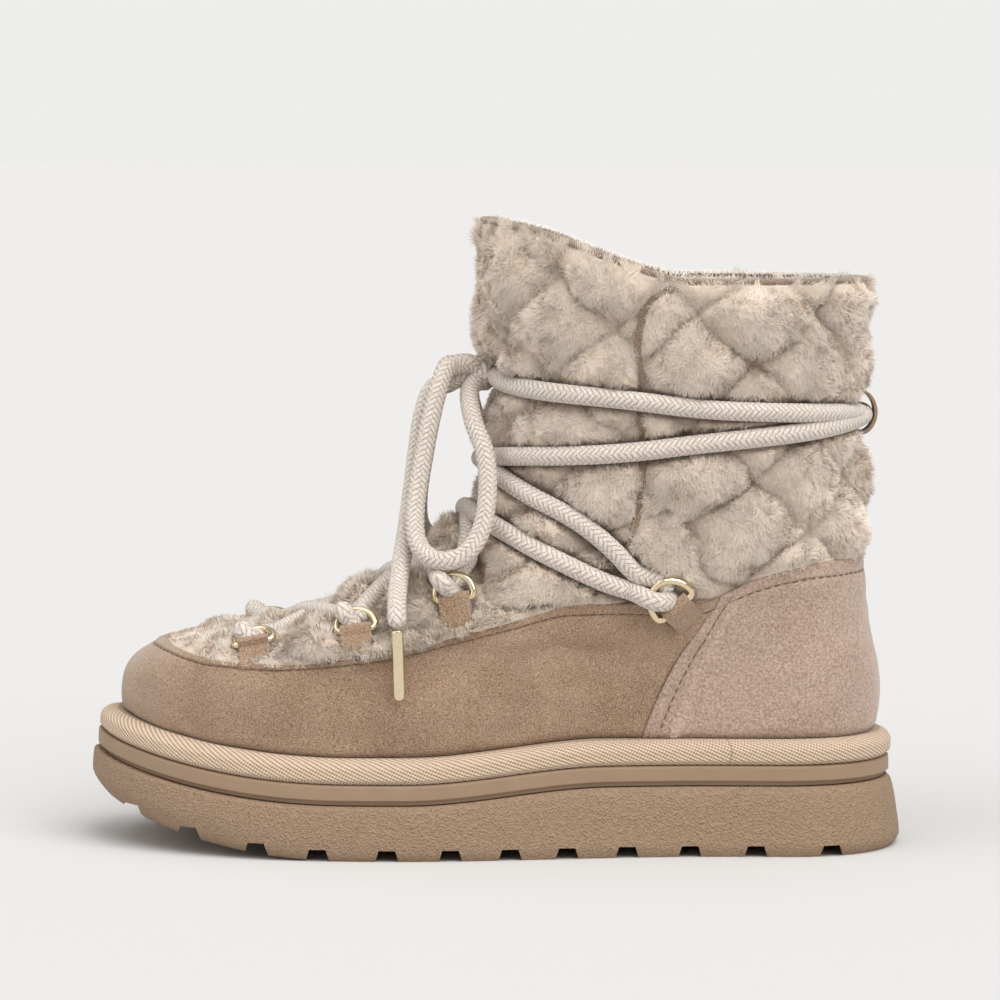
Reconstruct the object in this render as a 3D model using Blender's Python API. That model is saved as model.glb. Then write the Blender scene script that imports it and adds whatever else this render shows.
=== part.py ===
"""Lace-up ankle boot for the left foot: quilted plush upper, suede rand, padded platform, lugged sole.

Tables and functions are in millimetres and objects in metres. +X points to the toe, +Y to the outer
side and +Z up. The origin lies on the floor, under the middle of the boot.
"""

import math
from collections import namedtuple

import bmesh
import bpy
import numpy as np

MM = 0.001
GAP = 0.3

# Layers of the sole at the ball, above the floor
OUTSOLE_TOP = 19.0
MIDSOLE_TOP = 26.2
PLATFORM_TOP = 34.6

# Toe spring and heel rise
SPRING_START = 50.0
SPRING_END = 130.0
FLOOR_SPRING = 12.8
UPPER_SPRING = 10.2
RISE_START = 30.0
RISE_END = -38.0
HEEL_RISE = 5.2

# Curve of the left last: the ball leans out and the toe turns in
BALL_LEAN = 0.85
TOE_TURN = 7.0
LEAN_START = -60.0
LEAN_END = 40.0
TURN_END = 140.0

# Waist: share of the length where the heel's width turns into the ball's, and the nip under the arch
WIDTH_START = 0.22
WIDTH_END = 0.64
WAIST_NIP = 2.5
NIP_PLACE = -28.0
NIP_REACH = 34.0
NIP_LOW = 45.0
NIP_HIGH = 90.0

# Wall of the upper
RAND_THICK = 1.6
COUNTER_PROUD = 0.7
LINING_DEPTH = 4.6
PUFF = 3.2
SEAM_SINK = 0.4
PRESS_SINK = 2.4
EDGE_PUFF = 0.35
BINDING_WIDTH = 3.2
BINDING_HEIGHT = 2.2
BINDING_LIP = 0.7
BINDING_INSIDE = 0.4
STRIP_FACE = 1.6
STRIP_BACK = 0.6
STRIP_DIP = 2.4
STRIP_LEVELS = (0.075, 0.985, 20)

# Quilting: nodes of the diamonds in degrees round the shaft and millimetres up
Quilt = namedtuple("Quilt", "angle height half_angle half_height")
SEAM_MARGIN = 9.0
RIM_MARGIN = 0.06
EDGE_MARGIN = 0.09
BIB_QUILT = Quilt(130.8, 198.7, 22.2, 18.7)
QUARTER_QUILT = Quilt(65.2, 166.8, 20.5, 18.7)

# Lugs
LUG_GAPS = (104.5, 81.0, 60.0, 36.5, 15.0, -5.2, -24.5, -45.0, -66.5, -89.0, -115.0)
LUG_GAP_WIDTH = 8.0
LUG_GAP_ROOF = 5.6
LUG_DEPTH = 3.9
LUG_REACH = 22.0
LUG_PAST = 8.0
CENTRE_BLOCK = 17.0

# Lace and hardware
LACE_DIAMETER = 6.2
LACE_STAND_OFF = 2.9
LACE_STEP = 15.0
END_STEP = 8.0
DENT_CORE = 4.0
DENT_REACH = 11.0
TAB_CORE = 8.0
TAB_REACH = 15.0
AGLET_DIAMETER = 4.8
TAB_WIDTH = 9.6
TAB_THICK = 1.2
TAB_KNEE = 0.4
TAB_SHOULDER = 0.45
TAB_SHOULDER_LIFT = 0.25
TAB_PLIES = 1.5

# Courses and columns of the upper, and where they pass to the front profile
COLUMNS = 48
SEAM_COLUMN = 13
SUEDE_LEVELS = (-1.0, -0.62, -0.25)
FRONT_BLEND = (0.15, 0.8)
UNROLL = (90.0, 140.0)
PLUSH_LEVELS = (0.022, 0.06, 0.11, 0.16, 0.21, 0.26, 0.31, 0.36, 0.41, 0.46, 0.51, 0.56, 0.61, 0.66,
                0.72, 0.78, 0.84, 0.9, 0.955, 1.0)
SUEDE_TOP = -0.03
RAND_START = 71.0
COUNTER_END = 53.0
LINING_STRIDE = 2

# Horizontal slices of the last
Slice = namedtuple("Slice", "z back front rear_half fore_half rear_round fore_round")
SLICES = (
    Slice(30.0, -131.0, 127.5, 33.0, 47.0, 37.0, 74.0),
    Slice(42.0, -132.2, 130.0, 33.5, 47.5, 37.0, 74.0),
    Slice(50.0, -133.0, 131.0, 34.0, 47.8, 37.0, 74.0),
    Slice(57.0, -133.0, 130.2, 34.3, 47.6, 37.0, 74.0),
    Slice(63.0, -132.5, 127.2, 34.5, 46.9, 37.0, 74.0),
    Slice(68.0, -131.6, 121.0, 34.8, 46.1, 38.0, 74.0),
    Slice(70.8, -130.9, 110.0, 35.0, 45.4, 39.0, 74.0),
    Slice(72.8, -130.3, 95.0, 35.3, 44.9, 40.0, 73.5),
    Slice(75.2, -129.6, 79.0, 35.7, 44.4, 41.0, 73.0),
    Slice(79.0, -128.9, 63.5, 36.2, 43.8, 42.0, 72.0),
    Slice(85.0, -128.3, 48.5, 37.2, 43.0, 44.0, 71.0),
    Slice(92.0, -127.7, 36.0, 38.4, 42.4, 46.0, 70.0),
    Slice(101.5, -127.0, 22.0, 40.0, 42.2, 49.0, 69.0),
    Slice(111.0, -126.3, 12.0, 41.6, 42.6, 52.0, 67.0),
    Slice(123.0, -125.6, 6.5, 43.0, 43.4, 55.0, 65.0),
    Slice(135.0, -125.2, 3.6, 44.4, 44.6, 58.0, 63.0),
    Slice(165.0, -125.2, 0.6, 46.8, 46.6, 61.0, 63.0),
    Slice(182.0, -127.2, 3.8, 48.4, 48.0, 64.0, 65.0),
    Slice(200.0, -128.0, 5.6, 49.4, 49.0, 65.0, 66.0),
    Slice(220.0, -128.0, 5.8, 49.8, 49.4, 65.0, 66.0),
)
ROUND_POWER = 2.3

# Lines on the side of the boot, from the back to the front
Line = namedtuple("Line", "x z")
SUEDE_EDGE = (
    Line(-127.1, 101.0),
    Line(-110.0, 100.4),
    Line(-99.0, 98.5),
    Line(-88.0, 95.0),
    Line(-79.0, 90.5),
    Line(-70.0, 87.0),
    Line(-50.0, 87.2),
    Line(-28.0, 86.6),
    Line(-8.0, 81.4),
    Line(12.0, 76.0),
    Line(32.0, 70.8),
    Line(52.0, 67.7),
    Line(72.0, 65.8),
    Line(103.0, 65.5),
    Line(113.0, 66.3),
    Line(121.6, 67.6),
)
COLLAR = (
    Line(-127.8, 195.0),
    Line(-64.0, 195.0),
    Line(-56.0, 196.6),
    Line(-10.0, 211.8),
    Line(5.8, 215.0),
)
QUARTER_SEAM = (
    Line(-32.0, 88.0),
    Line(-38.0, 97.0),
    Line(-43.6, 106.0),
    Line(-48.0, 118.0),
    Line(-49.2, 133.0),
    Line(-48.5, 160.0),
    Line(-50.0, 177.0),
    Line(-54.0, 189.0),
    Line(-57.5, 196.0),
)
COUNTER_EDGE = (Line(-48.0, 35.0), Line(-70.5, 87.0))

# Outlines of the sole, layer by layer: level is the share of the layer's height
Outline = namedtuple("Outline", "level back front rear_half fore_half")
OUTSOLE = (
    Outline(0.0, -139.2, 131.0, 39.2, 51.6),
    Outline(0.14, -141.2, 137.0, 40.6, 53.4),
    Outline(0.5, -140.2, 141.2, 40.2, 53.8),
    Outline(0.96, -137.8, 140.6, 38.9, 53.2),
    Outline(1.0, -136.6, 139.2, 37.8, 52.0),
)
MIDSOLE = (
    Outline(0.0, -135.6, 137.2, 36.8, 51.0),
    Outline(0.16, -135.6, 137.2, 36.8, 51.0),
    Outline(0.26, -137.3, 139.2, 38.4, 52.8),
    Outline(0.9, -137.2, 139.0, 38.3, 52.6),
    Outline(1.0, -136.4, 138.2, 37.6, 51.9),
)
PLATFORM = (
    Outline(0.0, -136.2, 137.0, 37.4, 51.6),
    Outline(0.2, -137.8, 138.6, 38.8, 53.0),
    Outline(0.55, -138.0, 138.2, 38.9, 52.9),
    Outline(0.85, -136.8, 136.0, 37.6, 51.4),
    Outline(1.0, -134.2, 132.4, 35.0, 48.8),
)
SOLE_REAR_ROUND = 42.0
SOLE_FORE_ROUND = 78.0
INSOLE_INSET = 6.0
INSOLE_THICK = 3.6

# Rings: where the bar sits on the last, the way the lace pulls it, and its size
Ring = namedtuple("Ring", "x z pull_x pull_z bar height wire lift tail")
RINGS = {
    "1": Ring(82.0, 70.6, 0.0, 1.0, 11.6, 8.6, 1.9, -0.25, 7.5),
    "2": Ring(47.0, 74.6, 0.0, 1.0, 11.6, 8.6, 1.9, 0.4, 7.5),
    "3": Ring(13.0, 86.0, 0.0, 1.0, 11.6, 8.6, 1.9, 0.9, 8.5),
    "ankle": Ring(-60.8, 86.2, 0.66, 0.75, 13.0, 10.5, 2.1, 0.8, 11.0),
}
SIDES = {"lateral": 1, "medial": -1}

# Lace routes over the last. Strand points are degrees round the shaft and height
ANKLE_CROSS = (
    (223.0, 97.5), (213.0, 102.0), (198.0, 110.0), (180.0, 115.5), (162.0, 115.0),
    (143.7, 111.0), (118.3, 102.5), (98.0, 94.5), (85.8, 90.2),
)
WRAP = (
    (273.0, 94.6), (266.0, 99.0), (255.6, 107.0), (237.3, 118.0), (204.8, 129.0), (180.0, 133.0),
    (157.9, 135.0), (112.0, 138.0), (82.0, 142.0), (53.7, 145.0), (0.0, 149.5), (-53.7, 152.0),
    (-82.0, 153.5), (-112.0, 157.0), (-150.0, 159.5), (-167.0, 161.0),
)
# Points over the vamp are plan positions, on the outer side first
TOE_BAR = ((79.5, 27.0), (84.5, 15.0), (86.5, 0.0), (84.5, -15.0), (79.5, -27.0))
VAMP_CROSSES = (
    ((78.0, 27.0), (72.5, 14.0), (65.0, 0.0), (57.0, -15.0), (49.5, -28.5)),
    ((48.0, 28.5), (42.0, 15.0), (35.0, 0.0), (26.0, -15.0), (17.5, -28.5)),
)
KNOT_HEIGHT = 163.0
KNOT_STAND_OFF = 7.6
KNOT_RADII = (6.4, 8.2, 6.8)
BOW_LOOP = (
    (14.7, 7.4, 165.5), (17.6, 11.0, 164.5), (20.0, 15.0, 158.5), (22.6, 18.5, 148.0),
    (25.3, 21.5, 134.0), (27.6, 26.0, 118.5), (27.2, 32.0, 108.0), (23.2, 37.5, 102.5),
    (16.5, 41.6, 101.2), (9.5, 42.0, 104.5), (4.8, 39.6, 112.5), (3.0, 35.5, 125.0),
    (4.0, 31.0, 137.0), (8.0, 23.5, 147.5), (11.5, 11.4, 156.0),
)
LACE_END = (
    (17.4, 4.6, 159.2), (22.5, 6.0, 157.0), (25.6, 8.0, 149.0), (27.6, 11.0, 135.5),
    (29.3, 14.6, 121.5), (30.8, 20.0, 110.0), (32.2, 28.2, 100.5), (33.2, 36.8, 92.8),
    (33.5, 45.2, 87.0), (33.4, 50.0, 83.0), (33.3, 51.8, 79.8), (33.2, 51.9, 77.3),
)
AGLET_TOP = (33.2, 51.9, 75.8)
AGLET_FOOT = (32.4, 52.5, 52.0)

KEEPER_HEIGHT = 150.0
KEEPER_HALF_SPAN = 12.0
KEEPER_DEPTH = 8.0
KEEPER_WIDTH = 10.0


def smooth_table(places, values):
    """A monotone cubic through a table, as a function of place."""
    places = np.array(places, float)
    values = np.array(values, float)
    steps = np.diff(places)
    slopes = np.diff(values) / steps
    tangents = np.concatenate([slopes[:1], np.zeros(len(slopes) - 1), slopes[-1:]])
    for i in range(1, len(slopes)):
        if slopes[i - 1] * slopes[i] > 0:
            tangents[i] = 2 * slopes[i - 1] * slopes[i] / (slopes[i - 1] + slopes[i])

    def at(place):
        place = np.clip(place, places[0], places[-1])
        i = np.clip(np.searchsorted(places, place, side="right") - 1, 0, len(steps) - 1)
        t = (place - places[i]) / steps[i]
        rise = t * t * (3 - 2 * t)
        start = t * (1 - t) ** 2 * steps[i]
        end = -t * t * (1 - t) * steps[i]
        return values[i] + rise * (values[i + 1] - values[i]) + start * tangents[i] + end * tangents[i + 1]

    return at


def ease(low, high, value):
    """0 below low, 1 above high and smooth between."""
    t = np.clip((value - low) / (high - low), 0.0, 1.0)
    return t * t * (3 - 2 * t)


VAMP_LOW = 55.0
VAMP_HIGH = 130.0
SLICE_AT = {
    column: smooth_table([row.z for row in SLICES], [getattr(row, column) for row in SLICES])
    for column in Slice._fields[1:]
}


def toe_lift(x, spring=UPPER_SPRING):
    return spring * np.maximum((x - SPRING_START) / (SPRING_END - SPRING_START), 0.0) ** 2


def floor_lift(x):
    return toe_lift(x, FLOOR_SPRING)


def heel_lift(x):
    return HEEL_RISE * (1.0 - ease(RISE_END, RISE_START, x))


def centre_line(x):
    """Sideways place of the middle of the last."""
    return BALL_LEAN * ease(LEAN_START, LEAN_END, x) - TOE_TURN * ease(LEAN_END, TURN_END, x)


def round_off(distance, reach):
    """Squared share of the width at a distance from the end of a rounded outline."""
    return 1.0 - np.maximum((reach - distance) / reach, 0.0) ** ROUND_POWER


def outline_sq(x, back, front, rear_half, fore_half, rear_round, fore_round):
    """Squared half width of a foot shaped outline."""
    along = (x - back) / (front - back)
    width = rear_half + (fore_half - rear_half) * ease(WIDTH_START, WIDTH_END, along)
    return width**2 * round_off(x - back, rear_round) * round_off(front - x, fore_round)


def half_width_sq(x, z):
    """Squared half width of the last at a place on its side view."""
    row = {column: SLICE_AT[column](z) for column in Slice._fields[1:]}
    nip = WAIST_NIP * np.exp(-(((x - NIP_PLACE) / NIP_REACH) ** 2)) * (1.0 - ease(NIP_LOW, NIP_HIGH, z))
    full = outline_sq(x, **row)
    return full * (1.0 - nip / row["rear_half"]) ** 2


def last_point(x, z, side):
    y = centre_line(x) + side * np.sqrt(np.maximum(half_width_sq(x, z), 0.0))
    return np.stack(np.broadcast_arrays(x, y, z), axis=-1).astype(float)


def last_normal(points):
    """Outward normals of the last at points on it."""
    x, y, z = points[..., 0], points[..., 1], points[..., 2]
    step = 0.25
    off_centre = y - centre_line(x)
    turn = (centre_line(x + step) - centre_line(x - step)) / (2 * step)
    along = (half_width_sq(x + step, z) - half_width_sq(x - step, z)) / (2 * step)
    up = (half_width_sq(x, z + step) - half_width_sq(x, z - step)) / (2 * step)
    normal = np.stack([-along - 2 * off_centre * turn, 2 * off_centre, -up], axis=-1)
    return normal / np.linalg.norm(normal, axis=-1, keepdims=True)


def proud(points, offset):
    """Points of the last moved out along its normals."""
    return points + last_normal(points) * np.asarray(offset)[..., None]


def line_over_share(lines):
    """Height of a side line as a function of the share of its length."""
    xs = [line.x for line in lines]
    height = smooth_table(xs, [line.z for line in lines])
    return lambda share: height(xs[0] + share * (xs[-1] - xs[0]))


def feather_height(share):
    x = SLICES[1].back + share * (SLICES[1].front - SLICES[1].back)
    return PLATFORM_TOP + GAP + toe_lift(x) + heel_lift(x)


EDGE_HEIGHT = line_over_share(SUEDE_EDGE)
COLLAR_HEIGHT = line_over_share(COLLAR)


def front_rise_table():
    """Length of the front profile from suede edge to collar, and its rise by shares of that length."""
    z = np.linspace(EDGE_HEIGHT(1.0), COLLAR_HEIGHT(1.0), 300)
    x = SLICE_AT["front"](z)
    run = np.concatenate([[0.0], np.cumsum(np.hypot(np.diff(x), np.diff(z)))])
    return run[-1], run / run[-1], (z - z[0]) / (z[-1] - z[0])


FRONT_LENGTH, FRONT_RUN, FRONT_SHARE = front_rise_table()


def course(level, angle):
    """Points on the last where a course lies: level -1 feather line, 0 suede edge, 1 collar.

    The angle runs in degrees from the back, over the outer side, to the front at 180 and on.
    """
    level = np.asarray(level, float)
    angle = np.radians(np.asarray(angle, float))

    def height(share):
        below = feather_height(share) + (EDGE_HEIGHT(share) - feather_height(share)) * (level + 1.0)
        front = np.interp(level, FRONT_RUN, FRONT_SHARE)
        mix = level + (front - level) * ease(*FRONT_BLEND, share)
        above = EDGE_HEIGHT(share) + (COLLAR_HEIGHT(share) - EDGE_HEIGHT(share)) * mix
        return np.where(level < 0, below, above)

    back = SLICE_AT["back"](height(np.zeros_like(angle)))
    front = SLICE_AT["front"](height(np.ones_like(angle)))
    share = (1.0 - np.cos(angle)) / 2.0
    return last_point(back + share * (front - back), height(share), np.where(np.sin(angle) >= 0, 1, -1))


SEAM_X = smooth_table([line.z for line in QUARTER_SEAM], [line.x for line in QUARTER_SEAM])


def seam_angle(level):
    """Where the front edge of the quarter crosses a course."""
    angles = np.linspace(40.0, 140.0, 401)
    points = course(max(level, 0.0), angles)
    return float(np.interp(0.0, points[:, 0] - SEAM_X(points[:, 2]), angles))


def column_angles(level):
    """Angles of the columns on a course, with one column on each quarter seam."""
    seam = seam_angle(level)
    half = COLUMNS // 2
    share = np.arange(half + 1) / half
    split = SEAM_COLUMN / half
    rear = seam * share / split
    fore = seam + (180.0 - seam) * (share - split) / (1.0 - split)
    angles = np.where(share <= split, rear, fore)
    return np.concatenate([angles, 360.0 - angles[-2:0:-1]])


def smooth_route(route, step, place=None):
    """Points along a smooth curve through a route, about one step apart."""
    route = np.array(route, float)
    padded = np.vstack([2 * route[0] - route[1], route, 2 * route[-1] - route[-2]])
    t = np.linspace(0, 1, 24, endpoint=False)[:, None]
    runs = []
    for a, b, c, d in zip(padded, padded[1:], padded[2:], padded[3:]):
        runs.append(
            b + 0.5 * t * (c - a + t * (2 * a - 5 * b + 4 * c - d + t * (3 * (b - c) + d - a)))
        )
    curve = np.vstack(runs + [route[-1:]])
    if place is not None:
        curve = place(curve)
    length = np.concatenate([[0], np.cumsum(np.linalg.norm(np.diff(curve, axis=0), axis=1))])
    even = np.linspace(0, length[-1], max(2, round(length[-1] / step)) + 1)
    return np.stack([np.interp(even, length, curve[:, i]) for i in range(3)], axis=1)


def on_shaft(route):
    """Points of the last for angles round it and heights."""
    angle, z = np.radians(route[:, 0]), route[:, 1]
    back, front = SLICE_AT["back"](z), SLICE_AT["front"](z)
    x = back + (front - back) * (1.0 - np.cos(angle)) / 2.0
    return last_point(x, z, np.where(np.sin(angle) >= 0, 1, -1))


def on_vamp(route):
    """Points on top of the last for plan positions on it."""
    x, y = route[:, 0], route[:, 1] + centre_line(route[:, 0])
    low, high = np.full(len(x), VAMP_LOW), np.full(len(x), VAMP_HIGH)
    for _ in range(40):
        middle = (low + high) / 2
        inside = (half_width_sq(x, middle) > route[:, 1] ** 2) & (x < SLICE_AT["front"](middle))
        low, high = np.where(inside, middle, low), np.where(inside, high, middle)
    return np.stack([x, y, (low + high) / 2], axis=1)


def other_side(route):
    """An angle route mirrored to the other side."""
    return [(360.0 - angle, z) for angle, z in route]


def flipped(route):
    """A plan or space route mirrored across the middle."""
    return [(point[0], -point[1], *point[2:]) for point in route]


SHAFT_STRANDS = (ANKLE_CROSS, other_side(ANKLE_CROSS), WRAP, other_side(WRAP))
VAMP_STRANDS = (TOE_BAR, *VAMP_CROSSES, *(flipped(cross) for cross in VAMP_CROSSES))


def pressed_places():
    """Places on the last that laces and tabs press flat."""
    strands = [smooth_route(route, 3.0, on_shaft) for route in SHAFT_STRANDS]
    strands += [smooth_route(route, 3.0, on_vamp) for route in VAMP_STRANDS]
    tabs = [last_point(np.array([ring.x]), np.array([ring.z]), side)
            for ring in RINGS.values() for side in SIDES.values()]
    feet = KEEPER_HEIGHT + KEEPER_HALF_SPAN * np.array([-1.0, 1.0])
    tabs.append(last_point(SLICE_AT["back"](feet), feet, 1))
    return np.vstack(strands), np.vstack(tabs)


PRESSED_LACES, PRESSED_TABS = pressed_places()


def nearest(points, places):
    return np.sqrt(((points[:, None] - places[None]) ** 2).sum(axis=2)).min(axis=1)


def free_of_laces(points):
    """0 where a lace presses on the plush, 1 clear of all of them."""
    return ease(DENT_CORE, DENT_REACH, nearest(points, PRESSED_LACES))


def quilt_offset(points, level, seam):
    """How far the plush stands out: pillows between the quilting lines, flat under laces and tabs."""
    x, y, z = points.T
    back, front = SLICE_AT["back"](z), SLICE_AT["front"](z)
    share = np.clip((x - back) / (front - back), 0.0, 1.0)
    angle = np.degrees(np.arccos(1.0 - 2.0 * share))
    front_z = EDGE_HEIGHT(1.0) + np.interp(level, FRONT_RUN, FRONT_SHARE) * (
        COLLAR_HEIGHT(1.0) - EDGE_HEIGHT(1.0))
    run = FRONT_LENGTH * (1.0 - level)
    unrolled = z + (COLLAR_HEIGHT(1.0) - run - front_z) * ease(*UNROLL, angle)
    pillow = np.zeros(len(points))
    for quilt, inside in ((QUARTER_QUILT, angle <= seam), (BIB_QUILT, angle > seam)):
        across = (angle - quilt.angle) / (2 * quilt.half_angle)
        up = (unrolled - quilt.height) / (2 * quilt.half_height)
        ridge = np.abs(np.sin(math.pi * (across + up)) * np.sin(math.pi * (across - up)))
        pillow = np.where(inside, np.sqrt(ridge), pillow)
    free = free_of_laces(points)
    loose = ease(TAB_CORE, TAB_REACH, nearest(points, PRESSED_TABS))
    margin = ease(0.0, SEAM_MARGIN, np.abs(x - SEAM_X(z))) * ease(0.0, RIM_MARGIN, 1.0 - level)
    margin *= EDGE_PUFF + (1.0 - EDGE_PUFF) * ease(0.0, EDGE_MARGIN, level)
    return PUFF * pillow * free * loose * margin - SEAM_SINK - PRESS_SINK * (1.0 - free)


# Scene helpers


def clear_scene():
    for obj in list(bpy.data.objects):
        bpy.data.objects.remove(obj, do_unlink=True)


def new_collection(name):
    collection = bpy.data.collections.new(name)
    bpy.context.scene.collection.children.link(collection)
    return collection


def new_material(name, rgb, roughness, metallic=0.0):
    material = bpy.data.materials.new(name)
    material.use_nodes = True
    shader = material.node_tree.nodes["Principled BSDF"]
    shader.inputs["Base Color"].default_value = (*rgb, 1.0)
    shader.inputs["Roughness"].default_value = roughness
    shader.inputs["Metallic"].default_value = metallic
    return material


clear_scene()
BOOT = new_collection("lace_up_ankle_boot")
TOOLS = new_collection("cutters_and_joins")
FRAME = bpy.data.objects.new("boot_frame", None)
BOOT.objects.link(FRAME)

PLUSH = new_material("short_pile_plush", (0.62, 0.50, 0.36), 0.95)
SUEDE = new_material("tan_suede", (0.36, 0.24, 0.14), 0.9)
TAPE = new_material("woven_tape", (0.60, 0.50, 0.37), 0.85)
FOAM = new_material("midsole_foam", (0.30, 0.24, 0.18), 0.6)
RUBBER = new_material("outsole_rubber", (0.27, 0.22, 0.16), 0.75)
CORD = new_material("braided_cord", (0.76, 0.68, 0.56), 0.9)
GOLD = new_material("pale_gold_plate", (0.83, 0.68, 0.42), 0.25, 1.0)
FELT = new_material("insole_felt", (0.55, 0.45, 0.33), 0.95)


def add_part(name, data, material):
    part = bpy.data.objects.new(name, data)
    part.parent = FRAME
    data.materials.clear()
    data.materials.append(material)
    BOOT.objects.link(part)
    return part


def loft(name, rings, material, cap="ladder"):
    """A solid through rings of equal counts. A hollow one closes on its own first ring, without caps."""
    count = len(rings[0])
    bm = bmesh.new()
    rows = [[bm.verts.new(point) for point in np.asarray(ring) * MM] for ring in rings]
    turns = rows + rows[:1] if cap == "hollow" else rows
    for low, high in zip(turns, turns[1:]):
        for i in range(count):
            j = (i + 1) % count
            bm.faces.new((low[i], low[j], high[j], high[i]))
    if cap == "ladder":
        for row in (rows[0], rows[-1]):
            for i in range(count // 2):
                rung = (row[i], row[i + 1], row[(count - i - 1) % count], row[(count - i) % count])
                bm.faces.new(tuple(dict.fromkeys(rung)))
    elif cap == "flat":
        bm.faces.new(rows[0])
        bm.faces.new(rows[-1])
    bmesh.ops.recalc_face_normals(bm, faces=bm.faces)
    bmesh.ops.triangulate(bm, faces=bm.faces, quad_method="SHORT_EDGE")
    mesh = bpy.data.meshes.new(name)
    bm.to_mesh(mesh)
    bm.free()
    return add_part(name, mesh, material)


def smooth_shaded(part, degrees=40.0):
    part.data.shade_smooth()
    part.data.set_sharp_from_angle(angle=math.radians(degrees))


def tube(name, points, diameter, material, closed=False, sides_step=2):
    """A round cord or wire along points."""
    curve = bpy.data.curves.new(name, "CURVE")
    curve.dimensions = "3D"
    curve.bevel_depth = diameter / 2 * MM
    curve.bevel_resolution = sides_step
    curve.use_fill_caps = not closed
    spline = curve.splines.new("POLY")
    spline.points.add(len(points) - 1)
    for spot, point in zip(spline.points, np.asarray(points) * MM):
        spot.co = (*point, 1.0)
    spline.use_cyclic_u = closed
    return add_part(name, curve, material)


def as_mesh(part):
    """A tube turned into a closed mesh, so that it can be joined."""
    graph = bpy.context.evaluated_depsgraph_get()
    mesh = bpy.data.meshes.new_from_object(part.evaluated_get(graph))
    bm = bmesh.new()
    bm.from_mesh(mesh)
    bmesh.ops.remove_doubles(bm, verts=bm.verts, dist=0.00001)
    bmesh.ops.recalc_face_normals(bm, faces=bm.faces)
    bm.to_mesh(mesh)
    bm.free()
    name, material, curve = part.name, part.data.materials[0], part.data
    bpy.data.objects.remove(part, do_unlink=True)
    bpy.data.curves.remove(curve)
    return add_part(name, mesh, material)


def combine(part, others, operation):
    """Joins or cuts a part with helpers, which are then kept apart and out of the render."""
    for helper in others:
        modifier = part.modifiers.new(helper.name, "BOOLEAN")
        modifier.operation = operation
        modifier.object = helper
        modifier.solver = "EXACT"
        helper.hide_render = True
        helper.display_type = "WIRE"
        BOOT.objects.unlink(helper)
        TOOLS.objects.link(helper)


# Sole


def sole_ring(row, angles, inset=0.0):
    share = (1.0 - np.cos(np.radians(angles))) / 2.0
    back, front = row.back + inset, row.front - inset
    x = back + share * (front - back)
    half = np.sqrt(np.maximum(outline_sq(
        x, back, front, row.rear_half - inset, row.fore_half - inset, SOLE_REAR_ROUND, SOLE_FORE_ROUND), 0))
    return x, centre_line(x) + np.where(np.sin(np.radians(angles)) >= 0, 1, -1) * half


EVEN_ANGLES = np.arange(COLUMNS) * 360.0 / COLUMNS


def sole_layer(name, rows, bottom, top, material):
    """A slab between two heights at the ball, which follows the toe spring and the heel rise."""
    rings = []
    for row in rows:
        x, y = sole_ring(row, EVEN_ANGLES)
        z = bottom + (top - bottom) * row.level + toe_lift(x) + heel_lift(x)
        rings.append(np.stack([x, y, z], axis=1))
    part = loft(name, rings, material)
    smooth_shaded(part)
    return part


def outsole():
    rings = []
    for row in OUTSOLE:
        x, y = sole_ring(row, EVEN_ANGLES)
        top = OUTSOLE_TOP - GAP + heel_lift(x) + toe_lift(x)
        z = floor_lift(x) + (top - floor_lift(x)) * row.level
        rings.append(np.stack([x, y, z], axis=1))
    part = loft("outsole", rings, RUBBER)
    combine(part, [lug_gaps()], "DIFFERENCE")


def lug_gaps():
    """Trapezoid gaps: a row along each edge, and a middle row halfway between them."""
    floor = OUTSOLE[1]
    bm = bmesh.new()
    middles = [(a + b) / 2 for a, b in zip(LUG_GAPS, LUG_GAPS[1:])]
    spots = [(x, side) for x in LUG_GAPS for side in SIDES.values()] + [(x, 0) for x in middles[1:-1]]
    for x, side in spots:
        edge = math.sqrt(outline_sq(x, floor.back, floor.front, floor.rear_half, floor.fore_half,
                                    SOLE_REAR_ROUND, SOLE_FORE_ROUND))
        middle = centre_line(x)
        if side:
            reach = sorted((middle + side * (edge - LUG_REACH), middle + side * (edge + LUG_PAST)))
        else:
            reach = (middle - CENTRE_BLOCK, middle + CENTRE_BLOCK)
        mouth = LUG_GAP_WIDTH - LUG_GAP_ROOF / 2
        low, high = floor_lift(x) - LUG_DEPTH, floor_lift(x) + LUG_DEPTH
        section = ((-mouth, low), (mouth, low), (LUG_GAP_ROOF / 2, high), (-LUG_GAP_ROOF / 2, high))
        ends = []
        for y in reach:
            ends.append([bm.verts.new(np.array((x + along, y, z)) * MM) for along, z in section])
        bm.faces.new(ends[0])
        bm.faces.new(ends[1])
        for i in range(4):
            j = (i + 1) % 4
            bm.faces.new((ends[0][i], ends[0][j], ends[1][j], ends[1][i]))
    bmesh.ops.recalc_face_normals(bm, faces=bm.faces)
    mesh = bpy.data.meshes.new("lug_gaps")
    bm.to_mesh(mesh)
    bm.free()
    return add_part("lug_gaps", mesh, RUBBER)


def insole():
    angles = np.arange(32) * 360.0 / 32
    rings = []
    for height, inset in ((GAP, INSOLE_INSET), (INSOLE_THICK, INSOLE_INSET)):
        row = Outline(0.0, SLICES[1].back, SLICES[1].front, SLICES[1].rear_half, SLICES[1].fore_half)
        x, y = sole_ring(row, angles, inset)
        y = centre_line(x) + (y - centre_line(x)) * (1.0 - WAIST_NIP / row.rear_half)
        rings.append(np.stack([x, y, PLATFORM_TOP + height + toe_lift(x) + heel_lift(x)], axis=1))
    loft("insole", rings, FELT)


# Upper and its suede


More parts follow.
